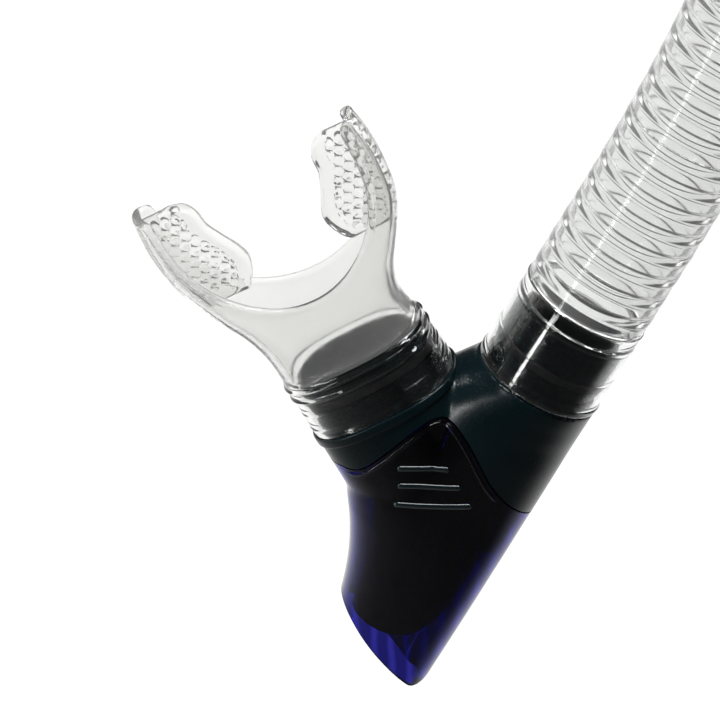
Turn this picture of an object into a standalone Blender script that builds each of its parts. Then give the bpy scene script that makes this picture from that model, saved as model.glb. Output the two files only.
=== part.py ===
"""Snorkel: mouthpiece, Y housing with purge valve, flexible hose, barrel, splash guard and strap keeper.

Metres, +Z up. The lower tube's axis is vertical, the mouthpiece points towards -X, and the
whole snorkel is symmetric about y = 0. The origin is the middle of the strap buckle's outer face.
"""

import math

import bmesh
import bpy
from mathutils import Matrix, Vector

# Fits
GAP = 0.0003  # between pieces that touch
SEAM_GAP = 0.0004  # round the purge cover's edge

# Lower tube, hose and cuffs
TUBE_R = 0.016
CUFF_WALL = 0.0015
CUFF_SOCKET = 0.0193  # depth of the socket that takes a spigot
CUFF_LENGTH = 0.024
CUFF_BORE_R = 0.0125
SPIGOT_LENGTH = 0.019
SPIGOT_BORE_R = 0.0115
HOSE_PITCH = 0.0064
HOSE_RINGS = 17
HOSE_WALL = 0.0012
HOSE_RIB = 0.0014  # how far a rib stands into the bore
HOSE_STRAIGHT = 0.050  # height where the hose begins to lean
LOWER_LEAN = math.radians(8.0)

# Barrel
BARREL_R = 0.013
BARREL_WALL = 0.0016
BARREL_STRAIGHT = 0.080
BARREL_LENGTH = 0.190
UPPER_LEAN = math.radians(20.0)
CONNECTOR_R = BARREL_R + 0.0045
CONNECTOR_HEIGHT = 0.020
CONNECTOR_SOCKET = 0.014

# Mouth branch: its rim's centre, its direction and its oval section
MOUTH_OUT = 0.0151  # how far the rim's centre stands out beyond the tube
MOUTH_RIM = Vector((-TUBE_R - MOUTH_OUT, 0.0, -0.0217))
MOUTH_ANGLE = math.radians(57.4)
MOUTH_A = 0.01915  # half width, in the plane of the snorkel
MOUTH_B = 0.0142  # half height, along Y
MOUTH_SPIGOT = 0.0135
MOUTH_BORE_WALL = 0.0018
COLLAR_WALL = 0.0018
LIP_HEIGHT = 0.0024
LIP_PROUD = 0.0005
OVAL = 2.6  # exponent of the branch's rounded oval

# Mouthpiece
COLLAR_HEIGHT = 0.0144
NECK_A = MOUTH_A - 0.00085
NECK_B = MOUTH_B - 0.0019
SILICONE_WALL = 0.0020
FLANGE_A = 0.0310  # half width of the lip flange
FLANGE_B = 0.0106
FLANGE_TIP = 0.0732  # the horns' height over the rim
SCOOP_A = 0.0280  # half width of the horseshoe's opening
SCOOP_BOTTOM = 0.0330  # the opening's nearest point to the rim
SCOOP_DEPTH = 0.0290  # height of its rounded part
BITE_THICK = 0.0032
BITE_EDGE_HEIGHT = 0.0072
BITE_EDGE_THICK = 0.0022
BITE_EDGE_PROUD = 0.0008  # how far the raised edge stands in beyond the tab

# Housing, purge chamber and purge cover
COVER_WALL = 0.0018
HOUSING_FLOOR = -0.0440
CHAMBER_WALL = 0.0016
CHAMBER_NECK = 0.0060
CHAMBER_END = ((-0.0110, -0.0765), (0.0115, -0.0660))  # the line of its oblique open end
VALVE_X = 0.0006
VALVE_R = 0.0080
VALVE_SEAT_Z = -0.0580
VALVE_SEAT_THICK = 0.0018
VALVE_FLAP_THICK = 0.0008
VALVE_HUB_R = 0.0022
VALVE_STEM_R = 0.0010
COVER_TIP = (0.0134, -0.0868)
COVER_HEEL = (-0.0140, -0.0743)
GRIP_RIBS = ((-0.0216, -0.0323, 0.0126), (-0.0192, -0.0365, 0.0153), (-0.0175, -0.0413, 0.0189))
GRIP_RIB_R = 0.0007

# Seals
SEAL_DEPTH = 0.0011
SEAL_WIDTH = 0.0024

# Splash guard
GUARD_BASE_R = BARREL_R + 0.0040
GUARD_BASE_HEIGHT = 0.014
GUARD_OVERLAP = 0.010  # how far the base reaches down over the barrel
GUARD_CAP_R = BARREL_R + 0.0060
GUARD_CAP_HEIGHT = 0.036
GUARD_CAP_WALL = 0.0016
GUARD_SLOTS = 8
GUARD_SLOT_WIDTH = 0.0070
GUARD_SLOT_HEIGHT = 0.0160
GUARD_SLOT_FOOT = 0.0070  # over the cap's rim
GUARD_RIM = 0.0030  # height of the base's rim that the cap snaps over
BAFFLE_RISE = 0.0120
BAFFLE_LEGS = 3

# Strap keeper
KEEPER_AT = 0.030  # height of the clip's middle over the connector
CLIP_HEIGHT = 0.022
CLIP_WALL = 0.0028
CLIP_MOUTH = math.radians(105.0)
BOSS_R = 0.0080
BOSS_PROUD = 0.0022
RIVET_R = 0.0020
RIVET_HEAD_R = 0.0042
RIVET_HEAD = 0.0014
RIVET_SUNK = 0.0018  # how far the rivet ends behind the buckle's face
BUCKLE_EDGE = 0.0005
BUCKLE_BOSS = 0.0022
BUCKLE_THICK = 0.0030
BUCKLE_WIDTH = 0.040
BUCKLE_HEIGHT = 0.036
BUCKLE_POWER = 5.0  # exponent of its rounded rectangle
STRAP_SLOT_WIDTH = 0.0060
STRAP_SLOT_HEIGHT = 0.0270
STRAP_SLOT_OFFSET = 0.0130

# Heights along the snorkel's centreline
HOSE_START = CUFF_LENGTH + GAP
HOSE_END = HOSE_START + HOSE_RINGS * HOSE_PITCH
UPPER_CUFF_START = HOSE_END + GAP
CONNECTOR_START = UPPER_CUFF_START + CUFF_LENGTH + GAP
CONNECTOR_END = CONNECTOR_START + CONNECTOR_HEIGHT
BARREL_START = CONNECTOR_END - CONNECTOR_SOCKET + GAP
BARREL_BEND = BARREL_START + BARREL_STRAIGHT
BARREL_END = BARREL_START + BARREL_LENGTH
KEEPER_HEIGHT = CONNECTOR_END + KEEPER_AT
BUCKLE_FACE = BARREL_R + GAP + CLIP_WALL + BOSS_PROUD + GAP + BUCKLE_BOSS + BUCKLE_THICK

# Sides of the round pieces
ROUND = 24
SMALL_ROUND = 20
OVAL_SIDES = 32
HOSE_SIDES = 24
BUCKLE_SIDES = 48
HOSE_STEPS = 6  # along the bend
BARREL_STEPS = 8  # along the bend

MOUTH_AXIS = Vector((-math.sin(MOUTH_ANGLE), 0.0, math.cos(MOUTH_ANGLE)))
MOUTH_SIDE = Vector((math.cos(MOUTH_ANGLE), 0.0, math.sin(MOUTH_ANGLE)))


def arc_point(start, lean_from, lean_to, length, distance):
    """A point along an arc in the XZ plane that leans from one angle to another, and its lean."""
    radius = length / (lean_to - lean_from)
    lean = lean_from + distance / radius
    x = start.x - radius * (math.cos(lean_from) - math.cos(lean))
    z = start.z + radius * (math.sin(lean) - math.sin(lean_from))
    return Vector((x, 0.0, z)), lean


def straight(start, lean, distance):
    return start + distance * Vector((-math.sin(lean), 0.0, math.cos(lean)))


def centreline(height):
    """The snorkel's centre at a distance along its centreline from the lower cuff's rim, and its lean."""
    if height <= HOSE_STRAIGHT:
        return Vector((0.0, 0.0, height)), 0.0
    hose_top = Vector((0.0, 0.0, HOSE_STRAIGHT))
    bend = HOSE_END - HOSE_STRAIGHT
    if height <= HOSE_END:
        return arc_point(hose_top, 0.0, LOWER_LEAN, bend, height - HOSE_STRAIGHT)
    above_hose, lean = arc_point(hose_top, 0.0, LOWER_LEAN, bend, bend)
    if height <= BARREL_BEND:
        return straight(above_hose, lean, height - HOSE_END), lean
    curve_start = straight(above_hose, lean, BARREL_BEND - HOSE_END)
    bend = BARREL_END - BARREL_BEND
    if height <= BARREL_END:
        return arc_point(curve_start, lean, UPPER_LEAN, bend, height - BARREL_BEND)
    top, lean = arc_point(curve_start, lean, UPPER_LEAN, bend, bend)
    return straight(top, lean, height - BARREL_END), lean


def tube_frame(height):
    """A matrix that puts local Z along the centreline and local X on the side away from the mouth."""
    centre, lean = centreline(height)
    return Matrix.Translation(centre) @ Matrix.Rotation(-lean, 4, "Y")


def mouth_frame(distance=0.0):
    """Local X across the mouthpiece, local Y along Y, local Z out of the mouth branch."""
    matrix = Matrix.Identity(4)
    matrix.col[0].xyz = MOUTH_SIDE
    matrix.col[2].xyz = MOUTH_AXIS
    matrix.col[3].xyz = MOUTH_RIM + distance * MOUTH_AXIS
    matrix.col[1].xyz = MOUTH_AXIS.cross(MOUTH_SIDE)
    return matrix


def oval(half_x, half_y, count, power=2.0, centre_x=0.0):
    """Points of a rounded oval in the XY plane, counter-clockwise seen from +Z."""
    points = []
    for i in range(count):
        angle = 2 * math.pi * i / count
        c = math.cos(angle)
        s = math.sin(angle)
        x = centre_x + half_x * math.copysign(abs(c) ** (2 / power), c)
        y = half_y * math.copysign(abs(s) ** (2 / power), s)
        points.append(Vector((x, y, 0.0)))
    return points


def ring_at(matrix, points):
    return [matrix @ point for point in points]


def circle_at(height, radius, count):
    return ring_at(tube_frame(height), oval(radius, radius, count))


def turned(axis, profile, count):
    """Round rings about a frame's Z axis, from pairs of height and radius."""
    return [ring_at(axis @ Matrix.Translation((0.0, 0.0, z)), oval(r, r, count)) for z, r in profile]


def material(name, colour, roughness, metallic=0.0, alpha=1.0):
    mat = bpy.data.materials.get(name)
    if mat is None:
        mat = bpy.data.materials.new(name)
        mat.use_nodes = True
        shader = mat.node_tree.nodes["Principled BSDF"]
        shader.inputs["Base Color"].default_value = (*colour, 1.0)
        shader.inputs["Roughness"].default_value = roughness
        shader.inputs["Metallic"].default_value = metallic
        shader.inputs["Alpha"].default_value = alpha
    return mat


def clear_silicone():
    return material("clear_silicone", (0.88, 0.88, 0.86), 0.25, alpha=0.45)


def clear_vinyl():
    return material("clear_vinyl", (0.86, 0.88, 0.88), 0.12, alpha=0.35)


def dark_teal():
    return material("dark_teal_plastic", (0.006, 0.030, 0.034), 0.32)


def black_core():
    return material("black_plastic", (0.012, 0.013, 0.015), 0.38)


def blue_tint():
    return material("blue_tinted_plastic", (0.02, 0.016, 0.22), 0.12, alpha=0.8)


def black_rubber():
    return material("black_rubber", (0.015, 0.015, 0.016), 0.65)


def add_object(name, bm, mat=None, sharp=math.radians(35)):
    mesh = bpy.data.meshes.new(name)
    bm.normal_update()
    bm.to_mesh(mesh)
    bm.free()
    mesh.shade_smooth()
    mesh.set_sharp_from_angle(angle=sharp)
    obj = bpy.data.objects.new(name, mesh)
    bpy.context.scene.collection.objects.link(obj)
    if mat is not None:
        mesh.materials.append(mat)
    return obj


def bridge(bm, lower, upper):
    count = len(lower)
    for i in range(count):
        j = (i + 1) % count
        bm.faces.new((lower[i], lower[j], upper[j], upper[i]))


def loft(name, rings, mat=None):
    """A solid through a stack of rings, each counter-clockwise about the way that the stack rises."""
    bm = bmesh.new()
    made = [[bm.verts.new(point) for point in ring] for ring in rings]
    for lower, upper in zip(made, made[1:]):
        bridge(bm, lower, upper)
    bm.faces.new(list(reversed(made[0])))
    bm.faces.new(made[-1])
    return add_object(name, bm, mat)


def sleeve(name, outer, inner, mat=None):
    """A solid with a way through it: its outer rings from bottom to top, then its inner rings likewise."""
    bm = bmesh.new()
    skin = [[bm.verts.new(point) for point in ring] for ring in outer]
    bore = [[bm.verts.new(point) for point in ring] for ring in inner]
    for lower, upper in zip(skin, skin[1:]):
        bridge(bm, lower, upper)
    for lower, upper in zip(bore, bore[1:]):
        bridge(bm, upper, lower)
    bridge(bm, skin[-1], bore[-1])
    bridge(bm, bore[0], skin[0])
    return add_object(name, bm, mat)


def prism(name, outline, half_depth, mat=None):
    """A solid from an outline in the XZ plane, given clockwise seen from -Y, half_depth to either side."""
    bm = bmesh.new()
    front = [bm.verts.new((x, -half_depth, z)) for x, z in outline]
    back = [bm.verts.new((x, half_depth, z)) for x, z in outline]
    bridge(bm, front, back)
    bm.faces.new(list(reversed(front)))
    bm.faces.new(back)
    bmesh.ops.recalc_face_normals(bm, faces=bm.faces)
    return add_object(name, bm, mat)


def block(name, matrix, low, high, mat=None):
    bm = bmesh.new()
    bmesh.ops.create_cube(bm, size=1.0)
    size = Vector(high) - Vector(low)
    middle = (Vector(high) + Vector(low)) / 2
    bmesh.ops.scale(bm, vec=size, verts=bm.verts)
    bmesh.ops.translate(bm, vec=middle, verts=bm.verts)
    bmesh.ops.transform(bm, matrix=matrix, verts=bm.verts)
    return add_object(name, bm, mat)


def combine(target, tool, operation):
    """Joins, cuts or meets target with tool, and applies it. The tool is used up."""
    modifier = target.modifiers.new(operation, "BOOLEAN")
    modifier.operation = operation
    modifier.solver = "EXACT"
    modifier.object = tool
    graph = bpy.context.evaluated_depsgraph_get()
    mesh = bpy.data.meshes.new_from_object(target.evaluated_get(graph), depsgraph=graph)
    old = target.data
    target.modifiers.remove(modifier)
    target.data = mesh
    bpy.data.meshes.remove(old)
    spent = tool.data
    bpy.data.objects.remove(tool)
    bpy.data.meshes.remove(spent)
    return target


def finish(obj, mat, sharp=math.radians(35)):
    obj.data.materials.clear()
    obj.data.materials.append(mat)
    obj.data.shade_smooth()
    obj.data.set_sharp_from_angle(angle=sharp)
    return obj


# The body's outer form: a stack of level sections from the cuff's rim down to the tip.
# height, how far its left edge stands out beyond the tube, how much shallower it is, oval exponent
BODY_FORM = (
    (-0.0003, 0.0002, 0.0000, 2.0),
    (-0.0016, 0.0008, 0.0000, 2.0),
    (-0.0036, 0.0024, 0.0000, 2.0),
    (-0.0060, 0.0042, 0.0001, 2.0),
    (-0.0090, 0.0061, 0.0001, 2.0),
    (-0.0125, 0.0078, 0.0002, 2.0),
    (-0.0190, 0.0084, 0.0004, 2.1),
    (-0.0270, 0.0102, 0.0008, 2.2),
    (-0.0360, 0.0132, 0.0012, 2.3),
    (-0.0430, 0.0135, 0.0015, 2.4),
    (-0.0490, 0.0102, 0.0019, 2.4),
    (-0.0550, 0.0062, 0.0024, 2.4),
    (-0.0620, 0.0024, 0.0030, 2.4),
    (-0.0700, -0.0008, 0.0039, 2.4),
    (-0.0780, -0.0030, 0.0050, 2.4),
    (-0.0920, -0.0050, 0.0070, 2.4),
)
BODY_SECTIONS = [(z, -TUBE_R - out, TUBE_R - thin, power) for z, out, thin, power in BODY_FORM]
BODY_BACK = TUBE_R


def body_form(name, inset, top=None):
    """The body's outer form, pulled in by inset. A form that cuts another starts and ends beyond it."""
    rings = []
    for height, left, depth, power in reversed(BODY_SECTIONS):
        half = (BODY_BACK - left) / 2 - inset
        centre = (BODY_BACK + left) / 2
        points = oval(half, depth - inset, OVAL_SIDES, power, centre)
        rings.append(ring_at(Matrix.Translation((0.0, 0.0, height)), points))
    if top is not None:
        rings[-1] = [Vector((point.x, point.y, top)) for point in rings[-1]]
    return loft(name, rings)


def mouth_form(name, inset, low, high):
    """A length of the mouth branch's oval, pulled in by inset."""
    points = oval(MOUTH_A - inset, MOUTH_B - inset, OVAL_SIDES, OVAL)
    return loft(name, [ring_at(mouth_frame(low), points), ring_at(mouth_frame(high), points)])


MOUTH_ROOT = -0.0330  # how far the branch's form runs into the body

# The purge cover's upper edge on the body's sides, from the mouth side over the tongue to the back
SEAM = (
    (-0.0420, -0.0520),
    (-0.0360, -0.0430),
    (-0.0332, -0.0403),
    (-0.0302, -0.0388),
    (-0.0284, -0.0368),
    (-0.0272, -0.0340),
    (-0.0257, -0.0297),
    (-0.0236, -0.0237),
    (-0.0217, -0.0191),
    (-0.0198, -0.0164),
    (-0.0172, -0.0151),
    (-0.0142, -0.0155),
    (-0.0110, -0.0170),
    (-0.0078, -0.0190),
    (-0.0042, -0.0217),
    (0.0006, -0.0252),
    (0.0062, -0.0282),
    (0.0110, -0.0300),
    (0.0200, -0.0325),
)


def offset_seam(distance):
    """The seam moved outwards, away from the cover, by a distance."""
    moved = []
    for i, (x, z) in enumerate(SEAM):
        ahead = SEAM[min(i + 1, len(SEAM) - 1)]
        behind = SEAM[max(i - 1, 0)]
        run = Vector((ahead[0] - behind[0], ahead[1] - behind[1])).normalized()
        moved.append((x - run.y * distance, z + run.x * distance))
    return moved


def below_seam(name, distance, bottom):
    """Everything below the seam, over the whole depth of the body."""
    return prism(name, offset_seam(distance) + bottom, 0.05)


def cover_bottom():
    """The oblique open end, from the rounded tip up to the heel, with a slight hollow."""
    tip = Vector(COVER_TIP)
    heel = Vector(COVER_HEEL)
    run = (heel - tip).normalized()
    side = Vector((run.y, -run.x))
    points = [(0.0200, -0.0700), (0.0200, tip.y + 0.0052), (0.0164, tip.y + 0.0040)]
    points.append((tip.x + 0.0022, tip.y + 0.0009))
    points.append((tip.x, tip.y))
    for share in (0.25, 0.5, 0.75):
        hollow = -0.0008 * math.sin(math.pi * share)
        point = tip + (heel - tip) * share + side * hollow
        points.append((point.x, point.y))
    points.append((heel.x, heel.y))
    beyond = heel + run * 0.03
    points.append((beyond.x, beyond.y))
    return points


def y_housing():
    shell = body_form("y_housing", 0.0)
    combine(shell, mouth_form("branch", 0.0, MOUTH_ROOT, -GAP - 0.0006), "UNION")
    combine(shell, mouth_form("lip", -LIP_PROUD, -LIP_HEIGHT - GAP, -GAP), "UNION")
    far = [(0.0200, -0.1200), (-0.0600, -0.1200)]
    combine(shell, below_seam("cover_room", SEAM_GAP, far), "DIFFERENCE")
    core = body_form("core", COVER_WALL + GAP)
    combine(core, mouth_form("core_branch", COVER_WALL + GAP, MOUTH_ROOT, -0.003), "UNION")
    floor = block("floor", Matrix.Identity(4), (-0.1, -0.1, -0.2), (0.1, 0.1, HOUSING_FLOOR))
    combine(core, floor, "DIFFERENCE")
    combine(shell, core, "UNION")
    spigot = tube_ring(-0.002, SPIGOT_LENGTH, TUBE_R - CUFF_WALL - GAP, ROUND)
    combine(shell, loft("spigot", spigot), "UNION")
    inset = COLLAR_WALL + GAP
    combine(shell, mouth_form("mouth_spigot", inset, -0.004, MOUTH_SPIGOT), "UNION")
    tube_bore = tube_ring(HOUSING_FLOOR - 0.01, 0.05, SPIGOT_BORE_R, ROUND)
    combine(shell, loft("tube_bore", tube_bore), "DIFFERENCE")
    bore = mouth_form("mouth_bore", inset + MOUTH_BORE_WALL, MOUTH_ROOT, 0.05)
    combine(shell, bore, "DIFFERENCE")
    combine(shell, tube_groove("tube_groove"), "DIFFERENCE")
    combine(shell, mouth_groove("mouth_groove"), "DIFFERENCE")
    return finish(shell, dark_teal())


def tube_ring(low, high, radius, count):
    points = oval(radius, radius, count)
    return [ring_at(Matrix.Translation((0.0, 0.0, height)), points) for height in (low, high)]


SEAL_HEIGHT = 0.0080  # over the spigot's shoulder


def tube_groove(name):
    outer = TUBE_R - CUFF_WALL - GAP + 0.001
    inner = TUBE_R - CUFF_WALL - GAP - SEAL_DEPTH
    low = SEAL_HEIGHT - SEAL_WIDTH / 2
    high = SEAL_HEIGHT + SEAL_WIDTH / 2
    return sleeve(name, tube_ring(low, high, outer, ROUND), tube_ring(low, high, inner, ROUND))


def mouth_groove(name):
    depth = COLLAR_WALL + GAP
    low = mouth_frame(SEAL_HEIGHT - SEAL_WIDTH / 2)
    high = mouth_frame(SEAL_HEIGHT + SEAL_WIDTH / 2)
    outer = oval(MOUTH_A - depth + 0.001, MOUTH_B - depth + 0.001, OVAL_SIDES, OVAL)
    inner = oval(MOUTH_A - depth - SEAL_DEPTH, MOUTH_B - depth - SEAL_DEPTH, OVAL_SIDES, OVAL)
    skin = [ring_at(low, outer), ring_at(high, outer)]
    bore = [ring_at(low, inner), ring_at(high, inner)]
    return sleeve(name, skin, bore)


def seal_ring(name, frames, half_x, half_y, power):
    """A rubber ring that fills its groove up to the spigot's surface."""
    outer = oval(half_x, half_y, OVAL_SIDES if power > 2 else ROUND, power)
    inset = SEAL_DEPTH - GAP
    inner = oval(half_x - inset, half_y - inset, len(outer), power)
    skin = [ring_at(frame, outer) for frame in frames]
    bore = [ring_at(frame, inner) for frame in frames]
    return sleeve(name, skin, bore, black_rubber())


def seals():
    half = SEAL_WIDTH / 2 - GAP
    radius = TUBE_R - CUFF_WALL - GAP
    heights = (SEAL_HEIGHT - half, SEAL_HEIGHT + half)
    seal_ring("tube_seal", [Matrix.Translation((0, 0, z)) for z in heights], radius, radius, 2.0)
    depth = COLLAR_WALL + GAP
    frames = [mouth_frame(z) for z in heights]
    seal_ring("mouth_seal", frames, MOUTH_A - depth, MOUTH_B - depth, OVAL)
    frames = [tube_frame(CONNECTOR_START - GAP - z) for z in reversed(heights)]
    seal_ring("connector_seal", frames, radius, radius, 2.0)


def purge_cover():
    shell = body_form("purge_cover", 0.0)
    combine(shell, mouth_form("branch", 0.0, MOUTH_ROOT, -GAP), "UNION")
    combine(shell, below_seam("cover_edge", 0.0, cover_bottom()), "INTERSECT")
    hollow = body_form("hollow", COVER_WALL, top=0.01)
    combine(hollow, mouth_form("hollow_branch", COVER_WALL, MOUTH_ROOT, 0.01), "UNION")
    combine(shell, hollow, "DIFFERENCE")
    for x, z, length in GRIP_RIBS:
        for side in (-1, 1):
            combine(shell, grip_rib("rib", x, z, length, side), "UNION")
    return finish(shell, blue_tint())


def oval_depth(across, half_x, half_y, power):
    """Half depth of a rounded oval at a distance from its middle."""
    share = min(abs(across) / half_x, 1.0)
    return half_y * (1 - share**power) ** (1 / power)


def side_depth(x, z):
    """Half depth of the outer form at a point of its side, on the body or the mouth branch."""
    point = Vector((x, 0.0, z)) - MOUTH_RIM
    depth = 0.0
    if MOUTH_ROOT < point.dot(MOUTH_AXIS) < 0.0:
        depth = oval_depth(point.dot(MOUTH_SIDE), MOUTH_A, MOUTH_B, OVAL)
    for upper, lower in zip(BODY_SECTIONS, BODY_SECTIONS[1:]):
        if lower[0] <= z <= upper[0]:
            share = (z - lower[0]) / (upper[0] - lower[0])
            left, deep, power = (lower[k] + share * (upper[k] - lower[k]) for k in (1, 2, 3))
            across = x - (BODY_BACK + left) / 2
            depth = max(depth, oval_depth(across, (BODY_BACK - left) / 2, deep, power))
    return depth


def grip_rib(name, x, z, length, side):
    """A raised bar along the cover's side."""
    run = Vector((math.cos(math.radians(28.7)), 0.0, math.sin(math.radians(28.7))))
    rings = []
    steps = 5
    for i in range(steps + 1):
        share = i / steps
        middle = Vector((x, 0.0, z)) + run * (length * share)
        middle.y = side * side_depth(middle.x, middle.z)
        end = 0.55 if i in (0, steps) else 1.0
        ring = []
        for k in range(6):
            angle = 2 * math.pi * k / 6
            across = Vector((-run.z, 0.0, run.x)) * math.cos(angle)
            out = Vector((0.0, 1.0, 0.0)) * math.sin(angle)
            ring.append(middle + (across + out) * GRIP_RIB_R * end)
        rings.append(ring)
    rib = loft(name, rings)
    recalculate(rib)
    return rib


# The purge chamber's outside, from its foot to its top: height, left edge, right edge, half depth
CHAMBER_SECTIONS = (
    (-0.0800, -0.0095, 0.0104, 0.0084),
    (-0.0700, -0.0108, 0.0108, 0.0098),
    (-0.0610, -0.0135, 0.0111, 0.0106),
    (-0.0490, -0.0190, 0.0112, 0.0112),
    (HOUSING_FLOOR - GAP, -0.0200, 0.0112, 0.0114),
)


def valve_ring(low, high, radius, count):
    """Rings about the purge valve's axis, which stands a little off the tube's."""
    middle = Vector((VALVE_X, 0.0, 0.0))
    return [[point + middle for point in ring] for ring in tube_ring(low, high, radius, count)]


def purge_chamber():
    """The dark drain chamber under the housing. Its neck goes up into the housing's bore."""
    rings = []
    for height, left, right, depth in CHAMBER_SECTIONS:
        points = oval((right - left) / 2, depth, OVAL_SIDES, 2.3, (left + right) / 2)
        rings.append(ring_at(Matrix.Translation((0.0, 0.0, height)), points))
    chamber = loft("purge_chamber", rings)
    (left, left_z), (right, right_z) = CHAMBER_END
    slope = (right_z - left_z) / (right - left)
    end = [(-0.05, left_z + slope * (-0.05 - left)), (0.05, left_z + slope * (0.05 - left))]
    combine(chamber, prism("end", end + [(0.05, -0.15), (-0.05, -0.15)], 0.05), "DIFFERENCE")
    top = HOUSING_FLOOR - GAP
    neck = tube_ring(top - 0.001, top + CHAMBER_NECK, SPIGOT_BORE_R - GAP, ROUND)
    combine(chamber, loft("neck", neck), "UNION")
    combine(chamber, loft("bore", valve_ring(-0.2, top - 0.003, VALVE_R - 0.0012, ROUND)), "DIFFERENCE")
    seat_room = valve_ring(-0.2, VALVE_SEAT_Z + GAP, VALVE_R + GAP, ROUND)
    combine(chamber, loft("seat_room", seat_room), "DIFFERENCE")
    bore_r = SPIGOT_BORE_R - GAP - CHAMBER_WALL
    combine(chamber, loft("neck_bore", tube_ring(top - 0.004, 0.0, bore_r, ROUND)), "DIFFERENCE")
    return finish(chamber, black_core())


def purge_valve():
    """A spoked seat with a hub, and the mushroom flap that closes it from below."""
    low = VALVE_SEAT_Z - VALVE_SEAT_THICK
    seat = loft("purge_valve_seat", valve_ring(low, VALVE_SEAT_Z, VALVE_R, ROUND))
    window_outer = VALVE_R - 0.0020
    window_inner = VALVE_HUB_R + 0.0002
    ring_low = valve_ring(low - 0.001, VALVE_SEAT_Z + 0.001, window_outer, ROUND)
    ring_high = valve_ring(low - 0.001, VALVE_SEAT_Z + 0.001, window_inner, ROUND)
    window = sleeve("window", ring_low, ring_high)
    for spoke in range(3):
        turn = Matrix.Translation((VALVE_X, 0.0, 0.0)) @ Matrix.Rotation(math.pi * spoke / 3, 4, "Z")
        bar_low = (-0.02, -0.0006, low - 0.002)
        bar_high = (0.02, 0.0006, VALVE_SEAT_Z + 0.002)
        combine(window, block("spoke", turn, bar_low, bar_high), "DIFFERENCE")
    combine(seat, window, "DIFFERENCE")
    stem_hole = valve_ring(low - 0.001, VALVE_SEAT_Z + 0.001, VALVE_STEM_R + GAP, 16)
    combine(seat, loft("stem_hole", stem_hole), "DIFFERENCE")
    finish(seat, black_core())

    face = low - GAP
    outline = (
        (face - VALVE_FLAP_THICK, VALVE_HUB_R),
        (face - VALVE_FLAP_THICK * 0.6, VALVE_R - 0.0012),
        (face, VALVE_R - 0.0012),
        (face, VALVE_STEM_R),
        (VALVE_SEAT_Z + 0.0005, VALVE_STEM_R),
        (VALVE_SEAT_Z + 0.0030, VALVE_STEM_R),
        (VALVE_SEAT_Z + 0.0045, VALVE_STEM_R * 0.6),
    )
    rings = turned(Matrix.Translation((VALVE_X, 0.0, 0.0)), outline, SMALL_ROUND)
    flap = loft("purge_valve_flap", rings, clear_silicone())
    set_pivot(flap, Vector((VALVE_X, 0.0, low)))


def cuff(name, from_top):
    """A clear cuff: a socket for the spigot, then a thick ring that the hose is bonded to."""
    outer = []
    inner = []
    profile = (
        (0.0, TUBE_R - 0.0002, TUBE_R - CUFF_WALL),
        (0.0006, TUBE_R + 0.0002, TUBE_R - CUFF_WALL),
        (0.0016, TUBE_R + 0.0002, TUBE_R - CUFF_WALL),
        (0.0024, TUBE_R, TUBE_R - CUFF_WALL),
        (CUFF_SOCKET, TUBE_R, TUBE_R - CUFF_WALL),
        (CUFF_SOCKET, TUBE_R, CUFF_BORE_R),
        (CUFF_LENGTH, TUBE_R, CUFF_BORE_R),
    )
    for distance, skin, bore in profile:
        height = UPPER_CUFF_START + CUFF_LENGTH - distance if from_top else distance
        if not outer or distance != CUFF_SOCKET or bore > CUFF_BORE_R:
            outer.append(circle_at(height, skin, ROUND))
        inner.append(circle_at(height, bore, ROUND))
    if from_top:
        outer.reverse()
        inner.reverse()
    return sleeve(name, outer, inner, clear_vinyl())


def flex_hose():
    """Smooth outside, with ribs standing into the bore once each pitch."""
    outer = [circle_at(HOSE_START, TUBE_R, HOSE_SIDES)]
    for i in range(HOSE_STEPS + 1):
        height = HOSE_STRAIGHT + (HOSE_END - HOSE_STRAIGHT) * i / HOSE_STEPS
        outer.append(circle_at(height, TUBE_R, HOSE_SIDES))
    wide = TUBE_R - HOSE_WALL
    inner = [circle_at(HOSE_START, wide, HOSE_SIDES)]
    for i in range(HOSE_RINGS):
        start = HOSE_START + i * HOSE_PITCH
        for share, radius in ((0.25, wide), (0.5, wide - HOSE_RIB)):
            inner.append(circle_at(start + share * HOSE_PITCH, radius, HOSE_SIDES))
    inner.append(circle_at(HOSE_END, wide, HOSE_SIDES))
    return sleeve("flex_hose", outer, inner, clear_vinyl())


def hose_connector():
    """Joins the hose to the barrel: a spigot down into the upper cuff and a socket up round the barrel."""
    spigot_r = TUBE_R - CUFF_WALL - GAP
    groove_r = spigot_r - SEAL_DEPTH
    seal = CONNECTOR_START - GAP - SEAL_HEIGHT
    socket_r = BARREL_R + GAP
    outer_profile = (
        (CONNECTOR_START - SPIGOT_LENGTH, spigot_r),
        (seal - SEAL_WIDTH / 2, spigot_r),
        (seal - SEAL_WIDTH / 2, groove_r),
        (seal + SEAL_WIDTH / 2, groove_r),
        (seal + SEAL_WIDTH / 2, spigot_r),
        (CONNECTOR_START, spigot_r),
        (CONNECTOR_START, TUBE_R),
        (CONNECTOR_START + 0.0012, CONNECTOR_R),
        (CONNECTOR_START + 0.0080, CONNECTOR_R),
        (CONNECTOR_END - 0.0010, socket_r + 0.0024),
        (CONNECTOR_END, socket_r + 0.0016),
    )
    socket_floor = CONNECTOR_END - CONNECTOR_SOCKET
    inner_profile = (
        (CONNECTOR_START - SPIGOT_LENGTH, SPIGOT_BORE_R),
        (socket_floor, BARREL_R - BARREL_WALL),
        (socket_floor, socket_r),
        (CONNECTOR_END, socket_r),
    )
    outer = [circle_at(height, radius, ROUND) for height, radius in outer_profile]
    inner = [circle_at(height, radius, ROUND) for height, radius in inner_profile]
    return sleeve("hose_connector", outer, inner, dark_teal())


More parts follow.
